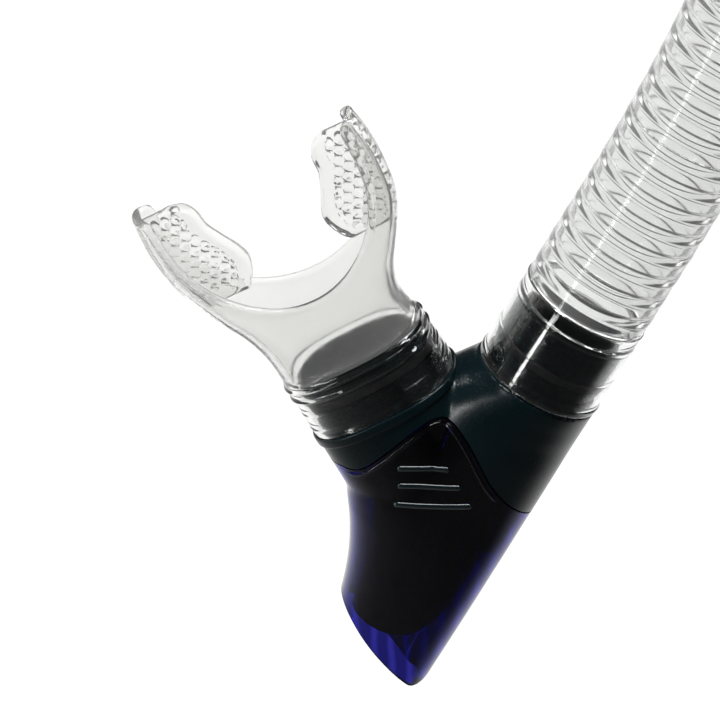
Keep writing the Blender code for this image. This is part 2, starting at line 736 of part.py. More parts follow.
def barrel():
    bend = BARREL_END - BARREL_BEND
    heights = [BARREL_START]
    heights += [BARREL_BEND + bend * i / BARREL_STEPS for i in range(BARREL_STEPS + 1)]
    outer = [circle_at(height, BARREL_R, ROUND) for height in heights]
    inner = [circle_at(height, BARREL_R - BARREL_WALL, ROUND) for height in heights]
    return sleeve("barrel", outer, inner, clear_vinyl())


GUARD_FOOT = BARREL_END - GUARD_OVERLAP
GUARD_SHELF = GUARD_FOOT + GUARD_BASE_HEIGHT
GUARD_RIM_R = GUARD_CAP_R - GUARD_CAP_WALL - GAP - 0.0008


def guard_base():
    """A dark ring over the barrel's end, with a rim inside that the barrel stops against."""
    socket_r = BARREL_R + GAP
    stop = BARREL_END + GAP
    outer_profile = (
        (GUARD_FOOT, socket_r + 0.0014),
        (GUARD_FOOT + 0.0060, GUARD_BASE_R),
        (GUARD_SHELF, GUARD_BASE_R),
        (GUARD_SHELF, GUARD_RIM_R),
        (GUARD_SHELF + GUARD_RIM, GUARD_RIM_R),
    )
    inner_profile = (
        (GUARD_FOOT, socket_r),
        (stop, socket_r),
        (stop, BARREL_R - BARREL_WALL),
        (GUARD_SHELF + GUARD_RIM, BARREL_R - BARREL_WALL),
    )
    outer = [circle_at(height, radius, ROUND) for height, radius in outer_profile]
    inner = [circle_at(height, radius, ROUND) for height, radius in inner_profile]
    return sleeve("guard_base", outer, inner, dark_teal())


def guard_baffle():
    """A cone on three legs over the barrel's end: air passes under it and splashes run off it."""
    foot = GUARD_SHELF + GUARD_RIM + GAP
    frame = tube_frame(foot)
    rise = BAFFLE_RISE
    skin = ((rise, BARREL_R - 0.0002), (rise + 0.0010, BARREL_R))
    skin += ((rise + 0.0060, 0.0060), (rise + 0.0075, 0.0020))
    cone = loft("guard_baffle", turned(frame, skin, ROUND))
    hollow = ((rise - 0.0010, BARREL_R - 0.0018), (rise + 0.0008, BARREL_R - 0.0024), (rise + 0.0046, 0.0052))
    combine(cone, loft("hollow", turned(frame, hollow, ROUND)), "DIFFERENCE")
    for leg in range(BAFFLE_LEGS):
        turn = frame @ Matrix.Rotation(2 * math.pi * leg / BAFFLE_LEGS + math.pi / 2, 4, "Z")
        low = (BARREL_R - 0.0016, -0.0016, 0.0)
        high = (BARREL_R - 0.0002, 0.0016, rise + 0.0006)
        combine(cone, block("leg", turn, low, high), "UNION")
    ring_outer = turned(frame, ((0.0, BARREL_R + 0.0004), (0.0014, BARREL_R + 0.0004)), ROUND)
    ring_inner = turned(frame, ((0.0, BARREL_R - 0.0015), (0.0014, BARREL_R - 0.0015)), ROUND)
    ring = sleeve("foot_ring", ring_outer, ring_inner)
    combine(cone, ring, "UNION")
    return finish(cone, black_core())


def guard_cap():
    """The outer cap: a domed cup with upright slots all round."""
    foot = GUARD_SHELF + GAP
    frame = tube_frame(foot)
    shoulder = GUARD_CAP_HEIGHT - 0.0100
    skin = ((0.0, GUARD_CAP_R), (shoulder, GUARD_CAP_R), (shoulder + 0.0050, GUARD_CAP_R * 0.93))
    skin += ((shoulder + 0.0083, GUARD_CAP_R * 0.74), (GUARD_CAP_HEIGHT, GUARD_CAP_R * 0.40))
    cap = loft("guard_cap", turned(frame, skin, OVAL_SIDES))
    wall = GUARD_CAP_WALL
    hollow = [(-0.002, GUARD_CAP_R - wall)]
    hollow += [(z - wall * (0.2 if z == shoulder else 0.8), r - wall) for z, r in skin[1:]]
    combine(cap, loft("hollow", turned(frame, hollow, OVAL_SIDES)), "DIFFERENCE")
    for slot in range(GUARD_SLOTS):
        turn = frame @ Matrix.Rotation(2 * math.pi * (slot + 0.5) / GUARD_SLOTS, 4, "Z")
        low = (GUARD_CAP_R - wall - 0.003, -GUARD_SLOT_WIDTH / 2, GUARD_SLOT_FOOT)
        high = (GUARD_CAP_R + 0.003, GUARD_SLOT_WIDTH / 2, GUARD_SLOT_FOOT + GUARD_SLOT_HEIGHT)
        combine(cap, block("slot", turn, low, high), "DIFFERENCE")
    return finish(cap, blue_tint())


# The mouthpiece from the rim to the horns: height, half width, half height, shift across
MOUTHPIECE_SECTIONS = (
    (0.0, MOUTH_A, MOUTH_B, 0.0),
    (COLLAR_HEIGHT, MOUTH_A - 0.0004, MOUTH_B - 0.0004, -0.0004),
    (COLLAR_HEIGHT + 0.0030, NECK_A, NECK_B + 0.0004, -0.0008),
    (0.0235, NECK_A + 0.0001, NECK_B - 0.0006, -0.0012),
    (0.0300, NECK_A + 0.0022, FLANGE_B - 0.0001, -0.0011),
    (0.0360, FLANGE_A - 0.0070, FLANGE_B - 0.0009, -0.0007),
    (0.0410, FLANGE_A - 0.0043, FLANGE_B - 0.0009, -0.0002),
    (0.0470, FLANGE_A - 0.0017, FLANGE_B - 0.0005, 0.0),
    (0.0540, FLANGE_A - 0.0004, FLANGE_B - 0.0001, 0.0),
    (0.0610, FLANGE_A, FLANGE_B, 0.0),
    (0.0670, FLANGE_A - 0.0004, FLANGE_B - 0.0004, 0.0),
    (0.0710, FLANGE_A - 0.0012, FLANGE_B - 0.0014, 0.0),
    (FLANGE_TIP, FLANGE_A - 0.0026, FLANGE_B - 0.0030, 0.0),
)


def mouthpiece():
    """One silicone piece: a collar over the spigot, a neck, a cup cut to a horseshoe and two bite tabs."""
    outer = []
    inner = []
    for height, half_x, half_y, shift in MOUTHPIECE_SECTIONS:
        frame = mouth_frame(height)
        outer.append(ring_at(frame, oval(half_x, half_y, OVAL_SIDES, OVAL, shift)))
        wall = COLLAR_WALL if height <= COLLAR_HEIGHT else SILICONE_WALL
        inner.append(ring_at(frame, oval(half_x - wall, half_y - wall, OVAL_SIDES, OVAL, shift)))
    foot = mouth_frame(-0.002)
    crown = mouth_frame(FLANGE_TIP + 0.002)
    socket = oval(MOUTH_A - COLLAR_WALL, MOUTH_B - COLLAR_WALL, OVAL_SIDES, OVAL)
    inner[0] = ring_at(foot, socket)
    inner[1] = ring_at(mouth_frame(COLLAR_HEIGHT), socket)
    top = MOUTHPIECE_SECTIONS[-2]
    room = oval(top[1] - SILICONE_WALL, top[2] - SILICONE_WALL, OVAL_SIDES, OVAL)
    inner[-1] = ring_at(crown, room)
    piece = loft("mouthpiece", outer)
    combine(piece, loft("bore", inner), "DIFFERENCE")
    combine(piece, scoop("scoop"), "DIFFERENCE")
    for side in (-1, 1):
        combine(piece, bite_tab("tab", side), "UNION")
    return finish(piece, clear_silicone())


def scoop(name):
    """The space cut out of the cup, over its whole height, so that two horns are left."""
    steps = 16
    centre = SCOOP_BOTTOM + SCOOP_DEPTH
    outline = [(-SCOOP_A + 0.0010, FLANGE_TIP + 0.010)]
    for i in range(steps + 1):
        turn = -math.pi / 2 + math.pi * i / steps
        outline.append((SCOOP_A * math.sin(turn), centre - SCOOP_DEPTH * math.cos(turn)))
    outline.append((SCOOP_A - 0.0010, FLANGE_TIP + 0.010))
    return mouth_slab(name, outline, 0.03)


def mouth_slab(name, outline, half_height):
    """A solid from an outline in the mouthpiece's plane."""
    frame = mouth_frame()
    bm = bmesh.new()
    low = [bm.verts.new(frame @ Vector((across, -half_height, along))) for across, along in outline]
    high = [bm.verts.new(frame @ Vector((across, half_height, along))) for across, along in outline]
    bridge(bm, low, high)
    bm.faces.new(low)
    bm.faces.new(list(reversed(high)))
    bmesh.ops.recalc_face_normals(bm, faces=bm.faces)
    return add_object(name, bm)


# A bite tab's outline: its inner edge from the horn down, then along the cup's wall
BITE_INNER = (
    (0.0170, 0.0688),
    (0.0152, 0.0660),
    (0.0150, 0.0600),
    (0.0125, 0.0555),
    (0.0100, 0.0515),
    (0.0102, 0.0480),
)
BITE_OUTER = (
    (0.0150, 0.0405),
    (FLANGE_A - 0.0054, 0.0415),
    (FLANGE_A - 0.0027, 0.0475),
    (FLANGE_A - 0.0013, 0.0550),
    (FLANGE_A - 0.0010, 0.0620),
    (FLANGE_A - 0.0019, 0.0700),
)


def bite_tab(name, side):
    """The plate between the teeth, from the horn inwards, with its inner edge raised both ways."""
    outline = [(side * x, z) for x, z in BITE_INNER + BITE_OUTER]
    tab = mouth_slab(name, outline, BITE_THICK / 2)
    frame = mouth_frame()
    high = BITE_EDGE_HEIGHT / 2
    near = -BITE_EDGE_PROUD
    far = BITE_EDGE_THICK - BITE_EDGE_PROUD
    rings = []
    for x, z in BITE_INNER:
        ring = []
        for across, up in ((far, high), (near, high), (near, -high), (far, -high)):
            ring.append(frame @ Vector((side * (x + across), up, z)))
        rings.append(ring)
    wall = loft("wall", rings)
    recalculate(wall)
    return combine(tab, wall, "UNION")


def recalculate(obj):
    bm = bmesh.new()
    bm.from_mesh(obj.data)
    bmesh.ops.recalc_face_normals(bm, faces=bm.faces)
    bm.to_mesh(obj.data)
    bm.free()


def keeper_clip():
    """An open ring that snaps onto the barrel, with a boss towards the strap."""
    frame = tube_frame(KEEPER_HEIGHT)
    inner_r = BARREL_R + GAP
    outer_r = inner_r + CLIP_WALL
    steps = 28
    start = CLIP_MOUTH / 2
    end = 2 * math.pi - CLIP_MOUTH / 2
    rings = []
    for i in range(steps + 1):
        angle = start + (end - start) * i / steps
        flare = 0.0012 if i in (0, steps) else 0.0
        ring = []
        for radius, z in ((inner_r, -1), (outer_r, -1), (outer_r, 1), (inner_r, 1)):
            reach = radius + flare
            point = Vector((reach * math.cos(angle), reach * math.sin(angle), z * CLIP_HEIGHT / 2))
            ring.append(frame @ point)
        rings.append(ring)
    clip = loft("keeper_clip", rings)
    recalculate(clip)
    axis = frame @ Matrix.Rotation(-math.pi / 2, 4, "Y")
    boss = ((outer_r - CLIP_WALL / 2, BOSS_R), (outer_r + BOSS_PROUD, BOSS_R))
    combine(clip, loft("boss", turned(axis, boss, SMALL_ROUND)), "UNION")
    hole = ((0.0, RIVET_R + GAP), (0.05, RIVET_R + GAP))
    combine(clip, loft("hole", turned(axis, hole, SMALL_ROUND)), "DIFFERENCE")
    recess = ((0.0, RIVET_HEAD_R + GAP), (inner_r + RIVET_HEAD + 2 * GAP, RIVET_HEAD_R + GAP))
    combine(clip, loft("recess", turned(axis, recess, SMALL_ROUND)), "DIFFERENCE")
    return finish(clip, dark_teal())


def keeper_rivet():
    """Holds the buckle to the clip and lets it turn. Its head lies in the clip, against the barrel's side."""
    axis = tube_frame(KEEPER_HEIGHT) @ Matrix.Rotation(-math.pi / 2, 4, "Y")
    head_low = BARREL_R + GAP
    head_high = head_low + RIVET_HEAD
    tip = BUCKLE_FACE - RIVET_SUNK
    profile = (
        (head_low, RIVET_HEAD_R - 0.0004),
        (head_low + 0.0004, RIVET_HEAD_R),
        (head_high, RIVET_HEAD_R),
        (head_high, RIVET_R),
        (tip - 0.0004, RIVET_R),
        (tip, RIVET_R - 0.0004),
    )
    return loft("keeper_rivet", turned(axis, profile, SMALL_ROUND), black_core())


def strap_buckle():
    """A plate with two upright slots: the mask strap passes in through one and out through the other."""
    axis = tube_frame(KEEPER_HEIGHT) @ Matrix.Rotation(-math.pi / 2, 4, "Y")
    plate_low = BUCKLE_FACE - BUCKLE_THICK
    edge = BUCKLE_EDGE
    rings = []
    levels = ((plate_low, edge), (plate_low + edge, 0.0), (BUCKLE_FACE - edge, 0.0), (BUCKLE_FACE, edge))
    for height, inset in levels:
        outline = oval(BUCKLE_HEIGHT / 2 - inset, BUCKLE_WIDTH / 2 - inset, BUCKLE_SIDES, BUCKLE_POWER)
        rings.append(ring_at(axis @ Matrix.Translation((0.0, 0.0, height)), outline))
    buckle = loft("strap_buckle", rings)
    boss = ((plate_low - BUCKLE_BOSS, BOSS_R), (plate_low + BUCKLE_THICK / 3, BOSS_R))
    combine(buckle, loft("boss", turned(axis, boss, SMALL_ROUND)), "UNION")
    for side in (-1, 1):
        middle = side * STRAP_SLOT_OFFSET
        low = (-STRAP_SLOT_HEIGHT / 2, middle - STRAP_SLOT_WIDTH / 2, 0.0)
        high = (STRAP_SLOT_HEIGHT / 2, middle + STRAP_SLOT_WIDTH / 2, 0.05)
        combine(buckle, block("slot", axis, low, high), "DIFFERENCE")
    hole = ((0.0, RIVET_R + GAP), (BUCKLE_FACE - RIVET_SUNK + GAP, RIVET_R + GAP))
    combine(buckle, loft("hole", turned(axis, hole, SMALL_ROUND)), "DIFFERENCE")
    return finish(buckle, dark_teal())


def set_pivot(obj, pivot):
    """Moves the object's origin to its joint's axis, with the shape left where it is."""
    obj.data.transform(Matrix.Translation(-pivot))
    obj.location = obj.location + pivot


def seat_point():
    """The middle of the strap buckle's outer face, which is the snorkel's origin."""
    return tube_frame(KEEPER_HEIGHT) @ Vector((-BUCKLE_FACE, 0.0, 0.0))


def main():
    for obj in list(bpy.data.objects):
        bpy.data.objects.remove(obj, do_unlink=True)
    y_housing()
    seals()
    mouthpiece()
    purge_chamber()
    purge_valve()
    purge_cover()
    cuff("lower_cuff", False)
    flex_hose()
    cuff("upper_cuff", True)
    hose_connector()
    barrel()
    guard_base()
    guard_baffle()
    guard_cap()
    keeper_clip()
    keeper_rivet()
    strap_buckle()
    keeper_pivot = tube_frame(KEEPER_HEIGHT).translation
    set_pivot(bpy.data.objects["keeper_clip"], keeper_pivot)
    set_pivot(bpy.data.objects["strap_buckle"], keeper_pivot)
    root = bpy.data.objects.new("snorkel", None)
    root.location = -seat_point()
    bpy.context.scene.collection.objects.link(root)
    for obj in list(bpy.context.scene.objects):
        if obj.type == "MESH":
            obj.parent = root


main()
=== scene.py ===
import math

import bmesh
import bpy
from mathutils import Matrix, Vector


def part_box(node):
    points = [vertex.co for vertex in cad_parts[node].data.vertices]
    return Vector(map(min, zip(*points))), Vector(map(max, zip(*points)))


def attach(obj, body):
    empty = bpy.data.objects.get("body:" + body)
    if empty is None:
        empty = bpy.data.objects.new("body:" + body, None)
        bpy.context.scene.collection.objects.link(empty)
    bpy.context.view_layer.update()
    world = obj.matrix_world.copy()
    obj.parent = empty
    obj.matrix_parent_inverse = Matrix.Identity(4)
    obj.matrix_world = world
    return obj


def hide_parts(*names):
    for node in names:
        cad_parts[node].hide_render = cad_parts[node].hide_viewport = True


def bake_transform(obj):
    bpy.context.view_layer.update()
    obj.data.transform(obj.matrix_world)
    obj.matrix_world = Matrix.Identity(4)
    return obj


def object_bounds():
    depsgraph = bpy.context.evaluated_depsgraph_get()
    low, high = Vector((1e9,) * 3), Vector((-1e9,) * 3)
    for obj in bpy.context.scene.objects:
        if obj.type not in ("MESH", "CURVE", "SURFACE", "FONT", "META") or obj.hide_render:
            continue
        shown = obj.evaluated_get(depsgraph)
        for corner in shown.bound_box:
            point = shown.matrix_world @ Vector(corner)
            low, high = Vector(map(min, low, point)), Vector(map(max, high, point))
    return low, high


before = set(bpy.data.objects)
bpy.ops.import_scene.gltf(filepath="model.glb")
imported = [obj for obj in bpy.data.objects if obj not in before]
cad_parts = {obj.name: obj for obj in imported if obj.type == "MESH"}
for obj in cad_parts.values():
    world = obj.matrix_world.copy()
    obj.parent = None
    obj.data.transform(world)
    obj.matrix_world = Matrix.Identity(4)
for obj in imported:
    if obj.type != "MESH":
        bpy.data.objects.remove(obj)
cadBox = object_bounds()
mm = 0.001

# places are taken from the frame, and heights run up from the lower tube's rim

rimLow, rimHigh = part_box("lower_cuff")
tubeFoot = Vector(((rimLow.x + rimHigh.x) / 2, 0.0, rimLow.z))
hoseLow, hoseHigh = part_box("flex_hose")
tubeRadius = hoseHigh.y

snorkel = {
    "gap": 0.3 * mm,
    "cuffLength": 24 * mm,
    "hosePitch": 6.4 * mm,
    "hoseRings": 17,
    "hoseStraight": 50 * mm,
    "lowerLean": math.radians(8),
    "connector": 20 * mm,
    "socket": 14 * mm,
    "barrelStraight": 80 * mm,
    "barrelLength": 190 * mm,
    "upperLean": math.radians(20),
}
hoseStart = snorkel["cuffLength"] + snorkel["gap"]
hoseEnd = hoseStart + snorkel["hoseRings"] * snorkel["hosePitch"]
upperCuffStart = hoseEnd + snorkel["gap"]
connectorStart = upperCuffStart + snorkel["cuffLength"] + snorkel["gap"]
connectorEnd = connectorStart + snorkel["connector"]
barrelStart = connectorEnd - snorkel["socket"] + snorkel["gap"]
barrelBend = barrelStart + snorkel["barrelStraight"]
barrelEnd = barrelStart + snorkel["barrelLength"]


def leaning(start, leanFrom, leanTo, length, distance):
    radius = length / (leanTo - leanFrom)
    lean = leanFrom + distance / radius
    x = start.x - radius * (math.cos(leanFrom) - math.cos(lean))
    z = start.z + radius * (math.sin(lean) - math.sin(leanFrom))
    return Vector((x, 0, z)), lean


def tubeFrame(height):
    # local Z runs up the snorkel's centreline
    lowerLean = snorkel["lowerLean"]
    straight = Vector((0, 0, min(height, snorkel["hoseStraight"])))
    bend = hoseEnd - snorkel["hoseStraight"]
    if height <= snorkel["hoseStraight"]:
        centre, lean = straight, 0.0
    elif height <= hoseEnd:
        centre, lean = leaning(straight, 0, lowerLean, bend, height - snorkel["hoseStraight"])
    else:
        centre, lean = leaning(straight, 0, lowerLean, bend, bend)
        along = Vector((-math.sin(lean), 0, math.cos(lean)))
        centre = centre + along * (min(height, barrelBend) - hoseEnd)
    if height > barrelBend:
        bend = barrelEnd - barrelBend
        reach = min(height, barrelEnd) - barrelBend
        centre, lean = leaning(centre, lowerLean, snorkel["upperLean"], bend, reach)
    if height > barrelEnd:
        along = Vector((-math.sin(lean), 0, math.cos(lean)))
        centre = centre + along * (height - barrelEnd)
    return Matrix.Translation(tubeFoot + centre) @ Matrix.Rotation(-lean, 4, "Y")


def straightTube(height, across=0.0):
    # upright, from the lower tube's rim
    return Matrix.Translation(tubeFoot + Vector((across, 0, height)))


def fromAxes(x, y, z, origin):
    matrix = Matrix.Identity(4)
    for column, axis in enumerate((x, y, z, origin)):
        matrix.col[column].xyz = axis
    return matrix


mouth = {
    "rim": Vector((-31.1 * mm, 0, -21.7 * mm)),
    "angle": math.radians(57.4),
    "halfWidth": 19.15 * mm,
    "halfDepth": 14.2 * mm,
    "power": 2.6,
    # the branch starts this far inside the body
    "root": -33 * mm,
    "lipProud": 0.6 * mm,
    "lipFrom": -3.0 * mm,
    "lipTo": -0.3 * mm,
}
mouthAxis = Vector((-math.sin(mouth["angle"]), 0, math.cos(mouth["angle"])))
mouthSide = Vector((math.cos(mouth["angle"]), 0, math.sin(mouth["angle"])))


def mouthFrame(height=0.0):
    # local X across the mouthpiece, local Z out of the mouth branch
    origin = tubeFoot + mouth["rim"] + mouthAxis * height
    return fromAxes(mouthSide, mouthAxis.cross(mouthSide), mouthAxis, origin)


def clearSelection():
    if bpy.context.object and bpy.context.object.mode != "OBJECT":
        bpy.ops.object.mode_set(mode="OBJECT")
    bpy.ops.object.select_all(action="DESELECT")


def only(obj):
    clearSelection()
    obj.select_set(True)
    bpy.context.view_layer.objects.active = obj


def modify(obj, kind, **settings):
    only(obj)
    bpy.ops.object.modifier_add(type=kind)
    modifier = obj.modifiers[-1]
    for key, value in settings.items():
        setattr(modifier, key, value)
    bpy.ops.object.modifier_apply(modifier=modifier.name)


def addObject(name, data):
    obj = bpy.data.objects.new(name, data)
    bpy.context.scene.collection.objects.link(obj)
    return obj


def outward(obj):
    bm = bmesh.new()
    bm.from_mesh(obj.data)
    bmesh.ops.remove_doubles(bm, verts=bm.verts, dist=1e-7)
    bmesh.ops.recalc_face_normals(bm, faces=bm.faces)
    bm.to_mesh(obj.data)
    bm.free()


def smooth(obj, degrees):
    only(obj)
    bpy.ops.object.shade_smooth_by_angle(angle=math.radians(degrees))


def oval(halfX, halfY, count, power=2.0, shift=0.0):
    points = []
    for i in range(count):
        angle = math.tau * i / count
        c = math.cos(angle)
        s = math.sin(angle)
        x = shift + halfX * math.copysign(abs(c) ** (2 / power), c)
        y = halfY * math.copysign(abs(s) ** (2 / power), s)
        points.append(Vector((x, y, 0)))
    return points


def skin(name, rings, loop=False):
    # quads between rings of points: a stack with closed ends, or a loop back to the first ring
    bm = bmesh.new()
    made = [[bm.verts.new(p) for p in ring] for ring in rings]
    pairs = list(zip(made, made[1:] + ([made[0]] if loop else [])))
    count = len(made[0])
    for low, high in pairs:
        for i in range(count):
            j = (i + 1) % count
            bm.faces.new((low[i], low[j], high[j], high[i]))
    if not loop:
        bm.faces.new(list(reversed(made[0])))
        bm.faces.new(made[-1])
    bmesh.ops.recalc_face_normals(bm, faces=bm.faces)
    bm.normal_update()
    mesh = bpy.data.meshes.new(name)
    bm.to_mesh(mesh)
    bm.free()
    return addObject(name, mesh)


def turned(name, profile, frameAt, sides=96, power=2.0, depth=1.0, loop=True):
    # a closed profile of (height, radius) pairs, turned about the centreline or drawn along an oval
    rings = []
    for height, radius in profile:
        matrix = frameAt(height)
        rings.append([matrix @ p for p in oval(radius, radius * depth, sides, power)])
    return skin(name, rings, loop)


def rounded(profile, radius, steps=4):
    # softens the corners of a closed profile
    points = []
    count = len(profile)
    for i in range(count):
        here = Vector(profile[i])
        before = Vector(profile[i - 1]) - here
        after = Vector(profile[(i + 1) % count]) - here
        bend = before.angle(after)
        if bend > math.radians(165):
            points.append(tuple(here))
            continue
        reach = min(radius, before.length * 0.45, after.length * 0.45)
        start = here + before.normalized() * reach
        end = here + after.normalized() * reach
        for k in range(steps + 1):
            t = k / steps
            point = start * (1 - t) ** 2 + here * 2 * t * (1 - t) + end * t ** 2
            points.append(tuple(point))
    return points


def combine(target, tool, operation="UNION"):
    modify(target, "BOOLEAN", operation=operation, solver="MANIFOLD", object=tool)
    bpy.data.objects.remove(tool)
    # the solver leaves an empty material slot behind
    target.data.materials.clear()


def cut(target, tool):
    combine(target, tool, "DIFFERENCE")


def box(name, low, high, matrix):
    clearSelection()
    bpy.ops.mesh.primitive_cube_add(size=1)
    obj = bpy.context.object
    obj.name = name
    size = Vector(high) - Vector(low)
    middle = (Vector(high) + Vector(low)) / 2
    obj.data.transform(matrix @ Matrix.Translation(middle) @ Matrix.Diagonal((*size, 1)))
    return obj


def blendBetween(rows, value):
    # smooth reading of a table of rows (key, a, b, ...)
    if value <= rows[0][0]:
        return rows[0][1:]
    for i in range(len(rows) - 1):
        if value <= rows[i + 1][0]:
            break
    else:
        return rows[-1][1:]
    before = rows[max(i - 1, 0)]
    low = rows[i]
    high = rows[i + 1]
    after = rows[min(i + 2, len(rows) - 1)]
    span = high[0] - low[0]
    t = (value - low[0]) / span
    out = []
    for k in range(1, len(low)):
        slopeLow = (high[k] - before[k]) / (high[0] - before[0]) * span
        slopeHigh = (after[k] - low[k]) / (after[0] - low[0]) * span
        a = 2 * t ** 3 - 3 * t ** 2 + 1
        b = t ** 3 - 2 * t ** 2 + t
        c = -2 * t ** 3 + 3 * t ** 2
        d = t ** 3 - t ** 2
        out.append(a * low[k] + b * slopeLow + c * high[k] + d * slopeHigh)
    return out


def place(obj, body, finishSlot, *nodes):
    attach(obj, body)
    if nodes:
        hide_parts(*nodes)


def finishPiece(obj, mat, body, finishSlot, *nodes, degrees=38):
    outward(obj)
    smooth(obj, degrees)
    obj.data.materials.append(mat)
    place(obj, body, finishSlot, *nodes)


def newMaterial(name):
    mat = bpy.data.materials.new(name)
    mat.use_nodes = True
    return mat, mat.node_tree, mat.node_tree.nodes["Principled BSDF"]


def noiseOn(tree, scale, detail=2.0):
    where = tree.nodes.new("ShaderNodeTexCoord")
    noise = tree.nodes.new("ShaderNodeTexNoise")
    noise.inputs["Scale"].default_value = scale
    noise.inputs["Detail"].default_value = detail
    tree.links.new(where.outputs["Object"], noise.inputs["Vector"])
    return noise.outputs["Fac"]


def grey(value):
    return (value, value, value)


def ramp(tree, source, low, high, target, start=0.3, end=0.7):
    # fades from the low to the high colour and feeds the target
    node = tree.nodes.new("ShaderNodeValToRGB")
    node.color_ramp.elements[0].position = start
    node.color_ramp.elements[1].position = end
    node.color_ramp.elements[0].color = (*low, 1)
    node.color_ramp.elements[1].color = (*high, 1)
    tree.links.new(source, node.inputs["Fac"])
    tree.links.new(node.outputs["Color"], target)


def bumpFrom(tree, shader, source, strength, distance):
    bump = tree.nodes.new("ShaderNodeBump")
    bump.inputs["Strength"].default_value = strength
    bump.inputs["Distance"].default_value = distance
    tree.links.new(source, bump.inputs["Height"])
    tree.links.new(bump.outputs["Normal"], shader.inputs["Normal"])


def clearMaterial(name, tint, tintDeep, ior, roughness, waveScale, waveDepth, milk=0.0):
    mat, tree, shader = newMaterial(name)
    shader.inputs["Transmission Weight"].default_value = 1.0 - milk
    shader.inputs["IOR"].default_value = ior
    wave = noiseOn(tree, waveScale)
    ramp(tree, wave, tintDeep, tint, shader.inputs["Base Color"])
    haze = noiseOn(tree, waveScale * 4, 3.0)
    ramp(tree, haze, grey(roughness * 0.6), grey(roughness * 1.6), shader.inputs["Roughness"])
    bumpFrom(tree, shader, wave, 0.25, waveDepth)
    return mat


def mouldedMaterial(name, colour, colourLight, roughness, grain, grainDepth, shine):
    mat, tree, shader = newMaterial(name)
    shader.inputs["Specular IOR Level"].default_value = shine
    ramp(tree, noiseOn(tree, 60), colour, colourLight, shader.inputs["Base Color"])
    fine = noiseOn(tree, grain, 4.0)
    ramp(tree, fine, grey(roughness * 0.85), grey(roughness * 1.2), shader.inputs["Roughness"])
    bumpFrom(tree, shader, fine, 0.12, grainDepth)
    return mat


blueTint = {
    "colour": (0.006, 0.005, 0.11),
    "streak": (0.018, 0.016, 0.23),
    "streakFrom": 0.45,
    "ior": 1.45,
    "streakLean": math.radians(28.7),
    "wave": {"Scale": 75, "Distortion": 1.6, "Detail": 1.0, "Detail Scale": 1.2},
    "smoothest": 0.05,
    "roughest": 0.11,
}


def tintedMaterial(name):
    # deep tint with soft lighter streaks, leaning so that they stand upright in the camera's view
    mat, tree, shader = newMaterial(name)
    colour = shader.inputs["Base Color"]
    shader.inputs["Transmission Weight"].default_value = 1.0
    shader.inputs["IOR"].default_value = blueTint["ior"]
    where = tree.nodes.new("ShaderNodeTexCoord")
    lie = tree.nodes.new("ShaderNodeMapping")
    lie.inputs["Rotation"].default_value = (0, blueTint["streakLean"], 0)
    streaks = tree.nodes.new("ShaderNodeTexWave")
    streaks.bands_direction = "X"
    for key, value in blueTint["wave"].items():
        streaks.inputs[key].default_value = value
    tree.links.new(where.outputs["Object"], lie.inputs["Vector"])
    tree.links.new(lie.outputs["Vector"], streaks.inputs["Vector"])
    streak = streaks.outputs["Fac"]
    ramp(tree, streak, blueTint["colour"], blueTint["streak"], colour, blueTint["streakFrom"], 1.0)
    haze = noiseOn(tree, 240, 3.0)
    ramp(tree, haze, grey(blueTint["smoothest"]), grey(blueTint["roughest"]), shader.inputs["Roughness"])
    bumpFrom(tree, shader, noiseOn(tree, 70), 0.2, 0.0003)
    return mat


# tint and its deeper shade, refraction, roughness, scale and depth of the waves, milkiness
silicone = clearMaterial("clearSilicone", (0.965, 0.965, 0.95), (0.94, 0.94, 0.925),
                         1.33, 0.12, 90, 0.0004, 0.10)
collarClear = clearMaterial("collarClear", (0.95, 0.955, 0.94), (0.92, 0.925, 0.91),
                            1.45, 0.04, 90, 0.0003)
vinyl = clearMaterial("clearVinyl", (0.96, 0.965, 0.955), (0.93, 0.94, 0.93),
                      1.47, 0.035, 110, 0.0003)
hoseVinyl = clearMaterial("hoseVinyl", (0.97, 0.975, 0.965), (0.94, 0.945, 0.935),
                          1.27, 0.08, 110, 0.0003, 0.10)
tinted = tintedMaterial("blueTint")
# colour and its lighter shade, roughness, scale and depth of the grain, shine
tealShades = ((0.0008, 0.0060, 0.0082), (0.0012, 0.0085, 0.0112))
teal = mouldedMaterial("darkTeal", *tealShades, 0.24, 1800, 0.00003, 0.36)
tealGloss = mouldedMaterial("tealGloss", *tealShades, 0.10, 1800, 0.00001, 1.0)
black = mouldedMaterial("blackCore", (0.0020, 0.0026, 0.0034), (0.0042, 0.0050, 0.0060),
                        0.34, 1600, 0.00003, 0.3)
rubber = mouldedMaterial("blackRubber", (0.008, 0.008, 0.009), (0.015, 0.015, 0.016),
                         0.55, 2000, 0.00005, 0.4)
print("materials made")


